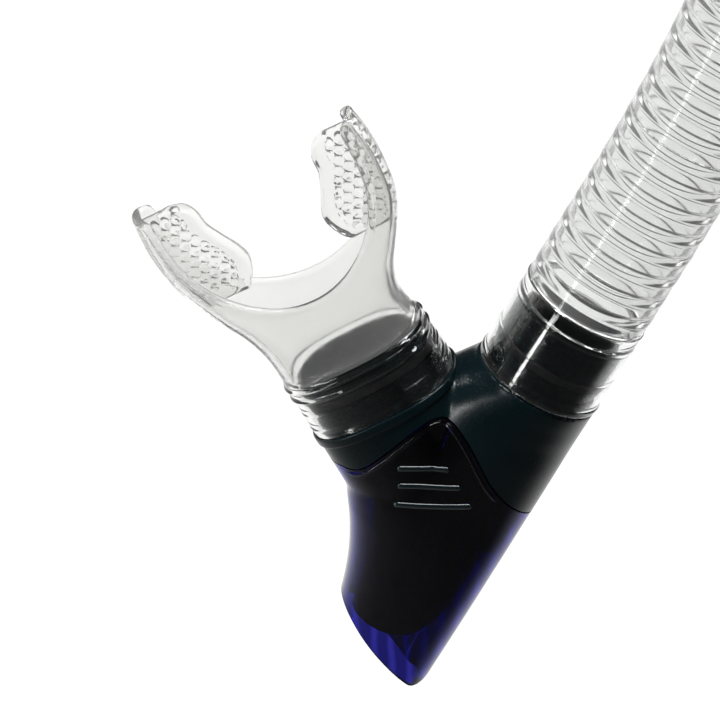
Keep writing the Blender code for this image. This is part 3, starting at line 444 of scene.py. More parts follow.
mouthpiece = {
    "columns": 240,
    "rows": 112,
    "wall": 2.0 * mm,
    "collarWall": 1.8 * mm,
    "collar": 14.4 * mm,
    # height over the rim, half width, half depth, shift across
    "sections": [
        (0.0, 19.15, 14.2, 0.0),
        (14.4, 18.75, 13.8, -0.4),
        (17.4, 18.3, 12.7, -0.8),
        (23.5, 18.4, 11.7, -1.2),
        (30.0, 20.5, 10.5, -1.1),
        (36.0, 24.0, 9.7, -0.7),
        (41.0, 26.7, 9.7, -0.2),
        (47.0, 29.3, 10.1, 0.0),
        (54.0, 30.6, 10.5, 0.0),
        (61.0, 31.0, 10.6, 0.0),
        (67.0, 30.6, 10.4, 0.0),
        (71.0, 29.8, 9.9, 0.0),
        (73.2, 28.6, 9.2, 0.0),
    ],
    # height, lift, width
    "ridges": [(14.2, 0.60, 0.55), (11.2, 0.50, 0.5), (6.6, 0.14, 0.4), (2.2, 0.18, 0.4)],
    "scoopHalf": 27.7 * mm,
    "scoopFoot": 33.0 * mm,
    "scoopRise": 29.0 * mm,
    "scoopFlare": 0.05,
    "tip": 70.4 * mm,
    "tipHalfDepth": 7.5 * mm,
    "tipRound": 3.2 * mm,
    "bead": 1.15 * mm,
    # below this height the silicone is polished clear
    "clearTo": 15.4 * mm,
}


def cupSection(height):
    width, depth, shift = blendBetween(mouthpiece["sections"], height / mm)
    return width * mm, depth * mm, shift * mm


def scoopHalf(height):
    # half width of the opening cut through the cup
    centre = mouthpiece["scoopFoot"] + mouthpiece["scoopRise"]
    if height >= centre:
        return mouthpiece["scoopHalf"] - (height - centre) * mouthpiece["scoopFlare"]
    drop = (centre - height) / mouthpiece["scoopRise"]
    return mouthpiece["scoopHalf"] * math.sqrt(max(0.0, 1 - drop ** 2))


def cupPoint(angle, height, inset=0.0):
    halfX, halfY, shift = cupSection(height)
    c = math.cos(angle)
    s = math.sin(angle)
    power = 2 / mouth["power"]
    x = shift + (halfX - inset) * math.copysign(abs(c) ** power, c)
    y = (halfY - inset) * math.copysign(abs(s) ** power, s)
    return Vector((x, y, height))


def edgeHeight(angle):
    # where the wall at this angle meets the scoop, or the horn's rounded tip
    low = mouthpiece["scoopFoot"]
    high = mouthpiece["tip"]
    steps = 60
    for i in range(steps):
        height = low + (high - low) * i / steps
        if abs(cupPoint(angle, height).x) < scoopHalf(height):
            break
    else:
        i = steps
        height = high
    if 0 < i < steps:
        bottom = height - (high - low) / steps
        for _ in range(20):
            middle = (bottom + height) / 2
            if abs(cupPoint(angle, middle).x) < scoopHalf(middle):
                height = middle
            else:
                bottom = middle
    across = abs(cupPoint(angle, min(height, high)).y) / mouthpiece["tipHalfDepth"]
    return min(height, high - mouthpiece["tipRound"] * min(across, 1.0) ** 2)


def ridgeLift(height):
    lifts = [lift * math.exp(-((height / mm - at) / wide) ** 2) for at, lift, wide in mouthpiece["ridges"]]
    return sum(lifts) * mm


def closedTube(name, path, radius, sides=14):
    # a round bead along a closed path, its twist shared out so that the loop closes
    rings = []
    count = len(path)
    up = (path[1] - path[-1]).normalized().orthogonal().normalized()
    for i, here in enumerate(path):
        along = (path[(i + 1) % count] - path[i - 1]).normalized()
        up = (up - along * up.dot(along)).normalized()
        side = along.cross(up)
        turns = [math.tau * k / sides for k in range(sides)]
        rings.append([here + (up * math.cos(t) + side * math.sin(t)) * radius for t in turns])
    twist = min(range(sides), key=lambda k: (rings[-1][k] - rings[0][0]).length)
    fixed = []
    for i, ring in enumerate(rings):
        shift = round(twist * i / count) % sides
        fixed.append(ring[shift:] + ring[:shift])
    return skin(name, fixed, loop=True)


def makeMouthpiece():
    columns = mouthpiece["columns"]
    rows = mouthpiece["rows"]
    angles = [math.tau * (i + 0.5) / columns for i in range(columns)]
    edges = [edgeHeight(a) for a in angles]
    for _ in range(3):
        edges = [(edges[i - 1] + 2 * edges[i] + edges[(i + 1) % columns]) / 4 for i in range(columns)]
    outer = []
    inner = []
    # half of the rows lie up to a level just over the collar, half from there to the edge
    start = mouthpiece["collar"] * 1.25
    for r in range(rows + 1):
        share = r / rows
        outerRing = []
        innerRing = []
        for angle, edge in zip(angles, edges):
            if share <= 0.5:
                height = start * share / 0.5
            else:
                height = start + (edge - start) * (share - 0.5) / 0.5
            outerRing.append(cupPoint(angle, height, -ridgeLift(height)))
            if height <= mouthpiece["collar"]:
                point = cupPoint(angle, 0.0, mouthpiece["collarWall"])
                innerRing.append(Vector((point.x, point.y, height)))
            else:
                blendIn = min(1.0, (height - mouthpiece["collar"]) / (2.0 * mm))
                wall = mouthpiece["wall"] * blendIn + mouthpiece["collarWall"] * (1 - blendIn)
                innerRing.append(cupPoint(angle, height, wall))
        outer.append(outerRing)
        inner.append(innerRing)
    cup = skin("mouthpieceSilicone", outer + list(reversed(inner)), loop=True)
    rim = [(a + b) / 2 for a, b in zip(outer[-1], inner[-1])]
    combine(cup, closedTube("rimBead", rim, mouthpiece["bead"]))
    for side in (-1, 1):
        combine(cup, biteTab(side))
    outward(cup)
    smooth(cup, 40)
    cup.data.materials.append(silicone)
    cup.data.materials.append(collarClear)
    for face in cup.data.polygons:
        face.material_index = 1 if face.center.z < mouthpiece["clearTo"] else 0
    cup.data.transform(mouthFrame())
    place(cup, "housing", "clear_silicone", "mouthpiece")


bite = {
    "thick": 3.2 * mm,
    "edgeHigh": 4.8 * mm,
    "edgeWide": 4.6 * mm,
    "pitch": 2.8 * mm,
    "bumpRadius": 1.20 * mm,
    "bumpHigh": 0.75 * mm,
    "edgeRound": 0.9 * mm,
    "endRound": 1.4 * mm,
    # the bumps keep this far from the inner edge, the ends and the cup's wall
    "clearEdge": 4.0 * mm,
    "clearEnd": 2.2 * mm,
    "clearWall": 1.3 * mm,
    # height over the rim, inner edge, outer edge inside the cup's wall
    "outline": [
        (40.8, 13.8, 25.2),
        (44.0, 11.6, 27.0),
        (48.0, 10.4, 28.4),
        (51.5, 11.2, 29.2),
        (55.5, 13.2, 29.6),
        (60.0, 15.2, 30.0),
        (64.5, 15.8, 29.8),
        (67.2, 17.4, 29.4),
        (68.9, 20.6, 28.8),
    ],
}


def biteTab(side):
    columns = 56
    rows = 96
    low = bite["outline"][0][0] * mm
    high = bite["outline"][-1][0] * mm
    faces = {}
    for sign in (1, -1):
        grid = []
        for r in range(rows + 1):
            height = low + (high - low) * r / rows
            inner, outer = blendBetween(bite["outline"], height / mm)
            line = []
            for k in range(columns + 1):
                share = k / columns
                x = (inner + (outer - inner) * share) * mm
                fromEdge = x - inner * mm
                fromEnd = min(height - low, high - height)
                half = bite["thick"] / 2
                wall = bite["edgeHigh"] / 2 - half
                inside = max(fromEdge - bite["edgeRound"], 0) / bite["edgeWide"]
                half += wall * max(0.0, 1 - inside ** 1.5) ** 2
                half *= 0.45 + 0.55 * math.sqrt(min(1.0, fromEdge / bite["edgeRound"]))
                half *= 0.35 + 0.65 * math.sqrt(min(1.0, fromEnd / bite["endRound"]))
                half += bumpAt(x, height, fromEdge, fromEnd)
                line.append(Vector((side * x, sign * half, height)))
            grid.append(line)
        faces[sign] = grid
    # one closed ring of points round each level
    rings = []
    for r in range(rows + 1):
        rings.append(faces[1][r] + list(reversed(faces[-1][r])))
    return skin("tab", rings)


def bumpAt(x, height, fromEdge, fromEnd):
    toWall = cupSection(height)[0] - mouthpiece["wall"] - x
    if fromEdge < bite["clearEdge"] or fromEnd < bite["clearEnd"] or toWall < bite["clearWall"]:
        return 0.0
    pitch = bite["pitch"]
    # the rows of a pattern of equal triangles
    rowHigh = pitch * 0.866
    row = round(height / rowHigh)
    best = 1.0
    for near in (row - 1, row, row + 1):
        offset = pitch / 2 if near % 2 else 0.0
        column = round((x - offset) / pitch)
        across = x - (column * pitch + offset)
        away = math.hypot(across, height - near * rowHigh)
        best = min(best, away / bite["bumpRadius"])
    return bite["bumpHigh"] * max(0.0, 1 - best ** 2) ** 0.8


makeMouthpiece()
print("mouthpiece made")

# housing and purge cover are cut from one outer form
bodyForm = {
    "sides": 96,
    "back": tubeRadius,
    # height, left edge, half depth, roundness
    "sections": [
        (-92.0, -11.0, 9.0, 2.4),
        (-78.0, -13.0, 11.0, 2.4),
        (-70.0, -15.2, 12.1, 2.4),
        (-62.0, -18.4, 13.0, 2.4),
        (-55.0, -22.2, 13.6, 2.4),
        (-49.0, -26.2, 14.1, 2.4),
        (-43.0, -29.5, 14.5, 2.4),
        (-36.0, -29.2, 14.8, 2.3),
        (-27.0, -26.2, 15.2, 2.2),
        (-19.0, -24.4, 15.6, 2.1),
        (-12.5, -23.8, 15.8, 2.0),
        (-9.0, -22.1, 15.9, 2.0),
        (-6.0, -20.2, 15.9, 2.0),
        (-3.6, -18.4, 16.0, 2.0),
        (-1.6, -16.8, 16.0, 2.0),
        (-0.3, -16.2, 16.0, 2.0),
    ],
    "coverWall": 1.8 * mm,
    "floor": -44.0 * mm,
    "voxel": 0.55 * mm,
    # smoothed strongly round these two points, and not at the two flat ends
    "saddle": Vector((-17.0, 0, -2.0)) * mm,
    "crotch": Vector((-30.5, 0, -44.5)) * mm,
    "softReach": 13 * mm,
    "flatTop": 1.4 * mm,
    "flatMouth": 2.0 * mm,
    # a disc that fills the notch behind the cover's tongue
    "tongue": (-17.5, -20.5),
    "tongueRadius": 9.5,
    "tongueHalfDepth": 10.6 * mm,
}


def bodyStack(name, inset, top=None):
    rings = []
    first = bodyForm["sections"][0][0]
    last = bodyForm["sections"][-1][0]
    steps = 70
    for i in range(steps + 1):
        height = first + (last - first) * i / steps
        left, depth, power = blendBetween(bodyForm["sections"], height)
        halfX = (bodyForm["back"] - left * mm) / 2 - inset
        centre = (bodyForm["back"] + left * mm) / 2
        level = height * mm
        if i == steps and top is not None:
            level = top
        matrix = straightTube(level)
        rings.append([matrix @ p for p in oval(halfX, depth * mm - inset, bodyForm["sides"], power, centre)])
    return skin(name, rings)


def branch(name, inset, high):
    points = oval(mouth["halfWidth"] - inset, mouth["halfDepth"] - inset, bodyForm["sides"], mouth["power"])
    return skin(name, [[mouthFrame(level) @ p for p in points] for level in (mouth["root"], high)])


def outerForm(name):
    # body and branch in one soft skin, with the saddle between them filled like a moulding
    form = bodyStack(name, 0.0)
    combine(form, branch("arm", 0.0, -0.9 * mm))
    modify(form, "REMESH", mode="VOXEL", voxel_size=bodyForm["voxel"])
    softenSaddle(form)
    return form


def softenSaddle(form):
    # smooths everywhere a little and the saddle a lot, and keeps the flat ends where they are
    spots = [tubeFoot + bodyForm["saddle"], tubeFoot + bodyForm["crotch"]]
    strong = form.vertex_groups.new(name="saddle")
    free = form.vertex_groups.new(name="free")
    toMouth = mouthFrame().inverted()
    for v in form.data.vertices:
        away = min((v.co - spot).length for spot in spots)
        atTop = v.co.z > tubeFoot.z - bodyForm["flatTop"]
        flatEnd = atTop or (toMouth @ v.co).z > -bodyForm["flatMouth"]
        if not flatEnd:
            free.add([v.index], 1.0, "REPLACE")
        weight = 0.0 if flatEnd else max(0.0, 1 - away / bodyForm["softReach"])
        strong.add([v.index], weight, "REPLACE")
    for repeats, group in ((10, "free"), (60, "saddle")):
        modify(form, "SMOOTH", factor=0.5, iterations=repeats, vertex_group=group)
    form.vertex_groups.clear()


seam = {
    "gap": 0.4 * mm,
    # across, height: the cover's upper edge from the mouth side over the tongue to the back
    "points": [
        (-42.0, -52.0), (-36.0, -43.0), (-33.2, -40.3), (-30.2, -38.8), (-28.4, -36.8),
        (-27.2, -34.0), (-25.7, -29.7), (-23.6, -23.7), (-21.7, -19.1), (-19.8, -16.4),
        (-17.2, -15.1), (-14.2, -15.5), (-11.0, -17.0), (-7.8, -19.0), (-4.2, -21.7),
        (0.6, -25.2), (6.2, -28.2), (11.0, -30.0), (20.0, -32.5),
    ],
    "beadIn": -1.2 * mm,
    "beadFrom": -31.0,
    "beadTo": 4.0,
    "tip": (11.6, -86.7),
    "heel": (-14.0, -74.3),
    # across, height over the tip, and how hollow the open end is
    "tipRound": [
        (22.0, 8.0), (16.4, 7.0), (16.0, 5.0), (15.5, 3.3), (14.8, 1.8), (13.8, 0.6), (12.7, 0.0),
    ],
    "hollow": 0.8,
}


def seamCurve(perSpan=6):
    # a soft curve through the seam's points
    points = [Vector(p) for p in seam["points"]]
    curve = []
    for i in range(len(points) - 1):
        p0 = points[max(i - 1, 0)]
        p1 = points[i]
        p2 = points[i + 1]
        p3 = points[min(i + 2, len(points) - 1)]
        for k in range(perSpan):
            t = k / perSpan
            curve.append(0.5 * ((2 * p1) + (p2 - p0) * t + (2 * p0 - 5 * p1 + 4 * p2 - p3) * t ** 2
                                + (3 * p1 - p0 - 3 * p2 + p3) * t ** 3))
    curve.append(points[-1])
    return curve


def offsetSeam(distance):
    curve = seamCurve()
    moved = []
    for i, point in enumerate(curve):
        run = (curve[min(i + 1, len(curve) - 1)] - curve[max(i - 1, 0)]).normalized()
        moved.append(Vector((point.x - run.y * distance / mm, point.y + run.x * distance / mm)))
    return moved


def slab(name, outline, halfDepth):
    # a flat plate from an outline in the snorkel's plane, in millimetres from the tube's foot
    rings = []
    for y in (-halfDepth, halfDepth):
        rings.append([tubeFoot + Vector((p[0] * mm, y, p[1] * mm)) for p in outline])
    return skin(name, rings)


def openEnd():
    # the oblique open end, round at the tip and slightly hollow up to the heel
    tip = Vector(seam["tip"])
    heel = Vector(seam["heel"])
    run = (heel - tip).normalized()
    side = Vector((run.y, -run.x))
    points = [(22.0, -70.0)] + [(x, tip.y + z) for x, z in seam["tipRound"]]
    for i in range(11):
        share = i / 10
        hollow = -seam["hollow"] * math.sin(math.pi * share)
        point = tip + (heel - tip) * share + side * hollow
        points.append((point.x, point.y))
    beyond = heel + run * 30
    points.append((beyond.x, beyond.y))
    return points


spigot = {
    "length": 19.0 * mm,
    "radius": tubeRadius - 1.8 * mm,
    "bore": 11.5 * mm,
    "mouthLength": 13.5 * mm,
    "inset": 2.1 * mm,
    "mouthWall": 1.8 * mm,
    # height, depth below the surface: shoulder, snap bead, groove for the seal ring
    "steps": [
        (-3.0, 0.0), (3.2, 0.0), (3.5, 0.5), (5.6, 0.5), (5.9, 0.0),
        (6.8, 0.0), (6.8, 1.0), (9.2, 1.0), (9.2, 0.0),
    ],
    # distance from the end, depth below the surface
    "nose": [(3.0, 0.0), (0.6, 0.3), (0.0, 1.0)],
}


def spigotProfile(radius, length):
    steps = [(z * mm, radius - depth * mm) for z, depth in spigot["steps"]]
    return steps + [(length - back * mm, radius - depth * mm) for back, depth in spigot["nose"]]


def sideDepth(x, z):
    # half depth of the outer form at a point of its side, in millimetres
    point = Vector((x, 0, z)) * mm - mouth["rim"]
    depth = 0.0
    if mouth["root"] < point.dot(mouthAxis) < 0:
        share = min(abs(point.dot(mouthSide)) / mouth["halfWidth"], 1.0)
        depth = mouth["halfDepth"] / mm * (1 - share ** mouth["power"]) ** (1 / mouth["power"])
    left, deep, power = blendBetween(bodyForm["sections"], z)
    back = bodyForm["back"] / mm
    share = min(abs(x - (back + left) / 2) / ((back - left) / 2), 1.0)
    return max(depth, deep * (1 - share ** power) ** (1 / power))


def slimBar(name, path, halfWidth, proud, sides=20):
    # an oval bar along an open path on the side of the body, with rounded ends
    rings = []
    count = len(path)
    outwards = Vector((0, 1, 0))
    for i, here in enumerate(path):
        along = (path[min(i + 1, count - 1)] - path[max(i - 1, 0)]).normalized()
        across = along.cross(outwards).normalized()
        up = across.cross(along)
        size = 1.0
        if i in (0, count - 1):
            size = 0.4
        elif i in (1, count - 2):
            size = 0.8
        ring = []
        for p in oval(halfWidth * size, proud * size, sides, 2.2):
            ring.append(here + across * p.x + up * p.y)
        rings.append(ring)
    return skin(name, rings)


def makeHousing(form):
    housing = addObject("housingShell", form.data.copy())
    far = [(22.0, -120.0), (-60.0, -120.0)]
    cut(housing, slab("coverRoom", offsetSeam(seam["gap"]) + far, 50 * mm))
    # the core under the cover
    inset = bodyForm["coverWall"] + snorkel["gap"]
    core = bodyStack("core", inset)
    combine(core, branch("coreArm", inset, -3 * mm))
    cut(core, box("below", (-0.1, -0.1, -0.2), (0.1, 0.1, bodyForm["floor"]), straightTube(0.0)))
    combine(housing, core)
    x, z = bodyForm["tongue"]
    radius = bodyForm["tongueRadius"]
    turns = [math.tau * i / 48 for i in range(48)]
    disc = [(x + radius * math.cos(t), z + radius * math.sin(t)) for t in turns]
    combine(housing, slab("tongueBack", disc, bodyForm["tongueHalfDepth"]))
    # the lip round the mouth branch
    reach = mouth["halfWidth"] + mouth["lipProud"]
    depth = (mouth["halfDepth"] + mouth["lipProud"]) / reach
    inner = reach - 4 * mm
    start, end = mouth["lipFrom"], mouth["lipTo"]
    lip = rounded([(start, inner), (start + 0.3 * mm, reach), (end, reach), (end, inner)], 0.5 * mm, 5)
    combine(housing, turned("lip", lip, mouthFrame, 144, mouth["power"], depth))
    nose = spigotProfile(spigot["radius"], spigot["length"])
    combine(housing, turned("tubeSpigot", nose, straightTube, 96, loop=False))
    wide, depth = mouthSpigotSize()
    nose = spigotProfile(wide, spigot["mouthLength"])
    combine(housing, turned("mouthSpigot", nose, mouthFrame, 120, mouth["power"], depth, loop=False))
    bore = [(bodyForm["floor"] - 10 * mm, spigot["bore"]), (50 * mm, spigot["bore"])]
    cut(housing, turned("tubeBore", bore, straightTube, 72, loop=False))
    cut(housing, branch("mouthBore", spigot["inset"] + spigot["mouthWall"], 50 * mm))
    finishPiece(housing, teal, "housing", "dark_teal_plastic", "y_housing")


def mouthSpigotSize():
    # half width, and half depth as a share of it
    wide = mouth["halfWidth"] - spigot["inset"]
    return wide, (mouth["halfDepth"] - spigot["inset"]) / wide


def edgeBead(side):
    # the raised line a little inside the cover's upper edge
    path = []
    for point in offsetSeam(seam["beadIn"]):
        if seam["beadFrom"] < point.x < seam["beadTo"]:
            depth = sideDepth(point.x, point.y) * mm - 0.1 * mm
            path.append(tubeFoot + Vector((point.x * mm, side * depth, point.y * mm)))
    return slimBar("edgeBead", path, 0.55 * mm, 0.42 * mm, 14)


def makeCover(cover):
    cover.name = "purgeCoverShell"
    outline = [tuple(p) for p in seamCurve()] + openEnd()
    combine(cover, slab("coverEdge", outline, 50 * mm), "INTERSECT")
    hollow = bodyStack("hollow", bodyForm["coverWall"], top=10 * mm)
    combine(hollow, branch("hollowArm", bodyForm["coverWall"], 10 * mm))
    cut(cover, hollow)
    for side in (-1, 1):
        combine(cover, edgeBead(side))
    finishPiece(cover, tinted, "housing", "blue_tinted_plastic", "purge_cover")


form = outerForm("outerForm")
makeHousing(form)
makeCover(form)
print("housing and cover made")


grip = {
    "halfWidth": 0.74 * mm,
    "proud": 0.50 * mm,
    "slope": math.radians(28.7),
    # start across, start height, length
    "bars": [(-21.6, -31.8, 12.6), (-19.2, -36.0, 15.3), (-17.5, -41.1, 18.9)],
}


def makeGripBars():
    made = []
    # closer steps near the two ends, where the bar is rounded
    shares = [0.0, 0.012] + [0.03 + 0.94 * i / 16 for i in range(17)] + [0.988, 1.0]
    for x, z, length in grip["bars"]:
        for side in (-1, 1):
            path = []
            for share in shares:
                px = x + math.cos(grip["slope"]) * length * share
                pz = z + math.sin(grip["slope"]) * length * share
                depth = sideDepth(px, pz) * mm + 0.05 * mm
                path.append(tubeFoot + Vector((px * mm, side * depth, pz * mm)))
            made.append(slimBar("gripBar", path, grip["halfWidth"], grip["proud"]))
    clearSelection()
    for obj in made:
        obj.select_set(True)
    bpy.context.view_layer.objects.active = made[0]
    bpy.ops.object.join()
    bars = bpy.context.object
    bars.name = "gripBars"
    finishPiece(bars, tealGloss, "housing", "dark_teal_plastic", degrees=60)


makeGripBars()


cuff = {
    "socket": 19.3 * mm,
    "length": snorkel["cuffLength"],
    "wall": 1.5 * mm,
    "bore": 12.5 * mm,
    "sides": 128,
}


def cuffProfile():
    r = tubeRadius
    bore = r - cuff["wall"]
    return rounded([
        (0.0, bore), (0.0, r + 0.1 * mm), (1.6 * mm, r + 0.35 * mm), (2.2 * mm, r), (9.2 * mm, r),
        (9.6 * mm, r + 0.12 * mm), (10.0 * mm, r), (18.4 * mm, r), (19.0 * mm, r + 0.22 * mm), (19.6 * mm, r),
        (cuff["length"] - 0.9 * mm, r), (cuff["length"] - 0.2 * mm, r + 0.2 * mm), (cuff["length"], r),
        (cuff["length"], cuff["bore"]), (cuff["socket"], cuff["bore"]), (cuff["socket"], bore),
    ], 0.35 * mm, 4)


def makeCuffs():
    low = cuffProfile()
    high = [(upperCuffStart + cuff["length"] - z, r) for z, r in low]
    rows = [("lowerCuffClear", low, "cuff", "lower_cuff"), ("upperCuffClear", high, "upper", "upper_cuff")]
    for name, profile, body, node in rows:
        piece = turned(name, profile, tubeFrame, cuff["sides"])
        finishPiece(piece, vinyl, body, "clear_vinyl", node, degrees=40)


makeCuffs()

hose = {
    "wall": 1.2 * mm,
    "rib": 1.5 * mm,
    "land": 0.46,
    "steps": 12,
    "sides": 112,
    "split": 8,
    # the length of each end held in the cuffs
    "held": 2 * mm,
}


def hoseHalf(name, firstRing, lastRing):
    low = hoseStart + firstRing * snorkel["hosePitch"]
    high = hoseStart + lastRing * snorkel["hosePitch"]
    outside = []
    inside = []
    steps = (lastRing - firstRing) * hose["steps"]
    for i in range(steps + 1):
        height = low + (high - low) * i / steps
        phase = (i % hose["steps"]) / hose["steps"]
        rise = 0.0
        if phase > hose["land"]:
            t = (phase - hose["land"]) / (1 - hose["land"])
            rise = math.sin(math.pi * t) ** 0.8
        inside.append((height, tubeRadius - hose["wall"] - hose["rib"] * rise))
        outside.append((height, tubeRadius + 0.10 * mm * rise - 0.05 * mm))
    half = turned(name, outside + list(reversed(inside)), tubeFrame, hose["sides"])
    smooth(half, 50)
    half.data.materials.append(hoseVinyl)
    return half


def makeHose():
    split = hose["split"]
    lower = hoseHalf("hoseLower", 0, split)
    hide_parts("flex_hose")
    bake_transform(lower)
    upper = hoseHalf("hoseUpper", split, snorkel["hoseRings"])
    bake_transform(upper)


makeHose()
print("hose and cuffs made")

upperPart = {
    "sides": 128,
    "barrel": 13.0 * mm,
    "barrelWall": 1.6 * mm,
    "connector": 17.5 * mm,
    "sealHeight": 8.0 * mm,
    "sealHalf": 1.1 * mm,
    "sealDeep": 0.95 * mm,
    "guardOverlap": 10 * mm,
    "guardBase": 17.0 * mm,
    "guardHeight": 14 * mm,
    "cap": 19.0 * mm,
    "capWall": 1.6 * mm,
    "capHeight": 36 * mm,
    "capTop": 7.6 * mm,
    "slots": 8,
    # height, radius
    "cone": [
        (12.0, 12.8), (12.4, 13.0), (13.0, 13.0), (15.0, 10.4), (17.0, 7.4), (18.4, 5.2), (19.5, 2.0),
    ],
    "coneHollow": [(11.0, 11.2), (12.8, 10.6), (16.6, 5.2)],
}


def makeBarrel():
    r = upperPart["barrel"]
    bore = r - upperPart["barrelWall"]
    heights = [barrelBend + (barrelEnd - barrelBend) * i / 40 for i in range(40)]
    profile = [(barrelStart, bore), (barrelStart, r)] + [(z, r) for z in heights]
    profile += [(barrelEnd, r), (barrelEnd, bore)] + [(z, bore) for z in reversed(heights)]
    barrel = turned("barrelClear", rounded(profile, 0.5 * mm), tubeFrame, upperPart["sides"])
    finishPiece(barrel, vinyl, "upper", "clear_vinyl", "barrel")


def makeConnector():
    start = connectorStart
    end = connectorEnd
    wide = upperPart["connector"]
    nose = spigot["radius"]
    seal = start - snorkel["gap"] - upperPart["sealHeight"]
    socket = upperPart["barrel"] + snorkel["gap"]
    floor = end - snorkel["socket"]
    bore = upperPart["barrel"] - upperPart["barrelWall"]
    profile = [
        (start - spigot["length"], spigot["bore"]), (start - spigot["length"], nose),
        (seal - 1.2 * mm, nose), (seal - 1.2 * mm, nose - 1.1 * mm), (seal + 1.2 * mm, nose - 1.1 * mm),
        (seal + 1.2 * mm, nose), (start, nose), (start, tubeRadius), (start + 1.2 * mm, wide),
        (start + 3.0 * mm, wide), (start + 3.4 * mm, wide - 0.4 * mm), (start + 4.2 * mm, wide - 0.4 * mm),
        (start + 4.6 * mm, wide), (start + 8.0 * mm, wide), (end - 1.0 * mm, socket + 2.4 * mm),
        (end, socket + 1.6 * mm), (end, socket), (floor, socket), (floor, bore),
    ]
    connector = turned("hoseConnector", rounded(profile, 0.45 * mm), tubeFrame, upperPart["sides"])
    finishPiece(connector, teal, "upper", "dark_teal_plastic", "hose_connector")


def sealRing(name, middle, radius, proud, frameAt, power=2.0, depth=1.0):
    low = middle - upperPart["sealHalf"]
    high = middle + upperPart["sealHalf"]
    profile = [(low, radius), (high, radius), (high, proud), (low, proud)]
    return turned(name, rounded(profile, 0.5 * mm), frameAt, upperPart["sides"], power, depth)


def makeSeals():
    low = spigot["radius"] - upperPart["sealDeep"]
    high = spigot["radius"] + 0.15 * mm
    middle = upperPart["sealHeight"]
    ring = sealRing("tubeSeal", middle, low, high, straightTube)
    finishPiece(ring, rubber, "housing", "black_rubber", "tube_seal")
    ring = sealRing("connectorSeal", connectorStart - snorkel["gap"] - middle, low, high, tubeFrame)
    finishPiece(ring, rubber, "upper", "black_rubber", "connector_seal")
    wide, depth = mouthSpigotSize()
    low = wide - upperPart["sealDeep"]
    ring = sealRing("mouthSeal", middle, low, wide + 0.12 * mm, mouthFrame, mouth["power"], depth)
    finishPiece(ring, rubber, "housing", "black_rubber", "mouth_seal")


def makeGuard():
    foot = barrelEnd - upperPart["guardOverlap"]
    shelf = foot + upperPart["guardHeight"]
    wide = upperPart["guardBase"]
    socket = upperPart["barrel"] + snorkel["gap"]
    bore = upperPart["barrel"] - upperPart["barrelWall"]
    rim = upperPart["cap"] - upperPart["capWall"] - 1.1 * mm
    stop = barrelEnd + snorkel["gap"]
    profile = [
        (foot, socket), (foot, socket + 1.4 * mm), (foot + 6 * mm, wide), (shelf, wide), (shelf, rim),
        (shelf + 3 * mm, rim), (shelf + 3 * mm, bore), (stop, bore), (stop, socket),
    ]
    base = turned("guardBase", rounded(profile, 0.5 * mm), tubeFrame, upperPart["sides"])
    finishPiece(base, teal, "upper", "dark_teal_plastic", "guard_base")

    # the cone on three legs that throws splashes outward
    foot = shelf + 3 * mm + snorkel["gap"]
    line = [(foot + z * mm, r * mm) for z, r in upperPart["cone"]]
    cone = turned("guardBaffle", line, tubeFrame, 96, loop=False)
    line = [(foot + z * mm, r * mm) for z, r in upperPart["coneHollow"]]
    cut(cone, turned("hollow", line, tubeFrame, 96, loop=False))
    for leg in range(3):
        turn = tubeFrame(foot) @ Matrix.Rotation(math.tau * leg / 3 + math.pi / 2, 4, "Z")
        combine(cone, box("leg", (11.4 * mm, -1.6 * mm, 0.3 * mm), (12.8 * mm, 1.6 * mm, 12.6 * mm), turn))
    ring = [(foot, 11.5 * mm), (foot, 13.4 * mm), (foot + 1.4 * mm, 13.4 * mm), (foot + 1.4 * mm, 11.5 * mm)]
    combine(cone, turned("footRing", ring, tubeFrame, 96))
    finishPiece(cone, black, "upper", "black_plastic", "guard_baffle")

    # the slotted cap
    foot = shelf + snorkel["gap"]
    cap = turned("guardCap", capLine(foot, 0.0), tubeFrame, upperPart["sides"], loop=False)
    line = capLine(foot, upperPart["capWall"])
    cut(cap, turned("hollow", line, tubeFrame, upperPart["sides"], loop=False))
    for i in range(upperPart["slots"]):
        turn = tubeFrame(foot) @ Matrix.Rotation(math.tau * (i + 0.5) / upperPart["slots"], 4, "Z")
        slot = softBlock((14.4 * mm, -3.5 * mm, 7 * mm), (22 * mm, 3.5 * mm, 23 * mm), turn, 2.2 * mm)
        cut(cap, slot)
    finishPiece(cap, tinted, "upper", "blue_tinted_plastic", "guard_cap")


def capLine(foot, wall):
    shoulder = upperPart["capHeight"] - 10 * mm
    top = upperPart["capHeight"] - wall
    line = [(foot - (2 * mm if wall else 0.0), upperPart["cap"] - wall)]
    if not wall:
        line = [(foot, upperPart["cap"] - 0.4 * mm), (foot + 0.4 * mm, upperPart["cap"])]
    for i in range(17):
        share = math.sin(math.pi / 2 * i / 16)
        radius = upperPart["capTop"] + (upperPart["cap"] - upperPart["capTop"]) * math.sqrt(1 - share ** 2.2)
        line.append((foot + shoulder + (top - shoulder) * share, radius - wall))
    return line


def softBlock(low, high, matrix, radius):
    # a cutter with round edges
    block = box("cutter", low, high, matrix)
    modify(block, "BEVEL", width=radius, segments=5)
    return block


keeper = {
    "above": 30 * mm,
    "wall": 2.8 * mm,
    "height": 22 * mm,
    "mouth": math.radians(105),
    "flare": 1.2 * mm,
    "boss": 8.0 * mm,
    "bossProud": 2.2 * mm,
    "rivet": 2.0 * mm,
    "head": 4.2 * mm,
    "headHigh": 1.4 * mm,
    "plate": 3.0 * mm,
    "plateHalfHigh": 18 * mm,
    "plateHalfWide": 20 * mm,
    "slotAt": 13 * mm,
    "slotHalf": (13.5 * mm, 3.0 * mm),
}


def keeperAxis(height):
    # local Z points from the barrel's middle to the head
    turn = Matrix.Rotation(-math.pi / 2, 4, "Y")
    return tubeFrame(connectorEnd + keeper["above"]) @ turn @ Matrix.Translation((0, 0, height))


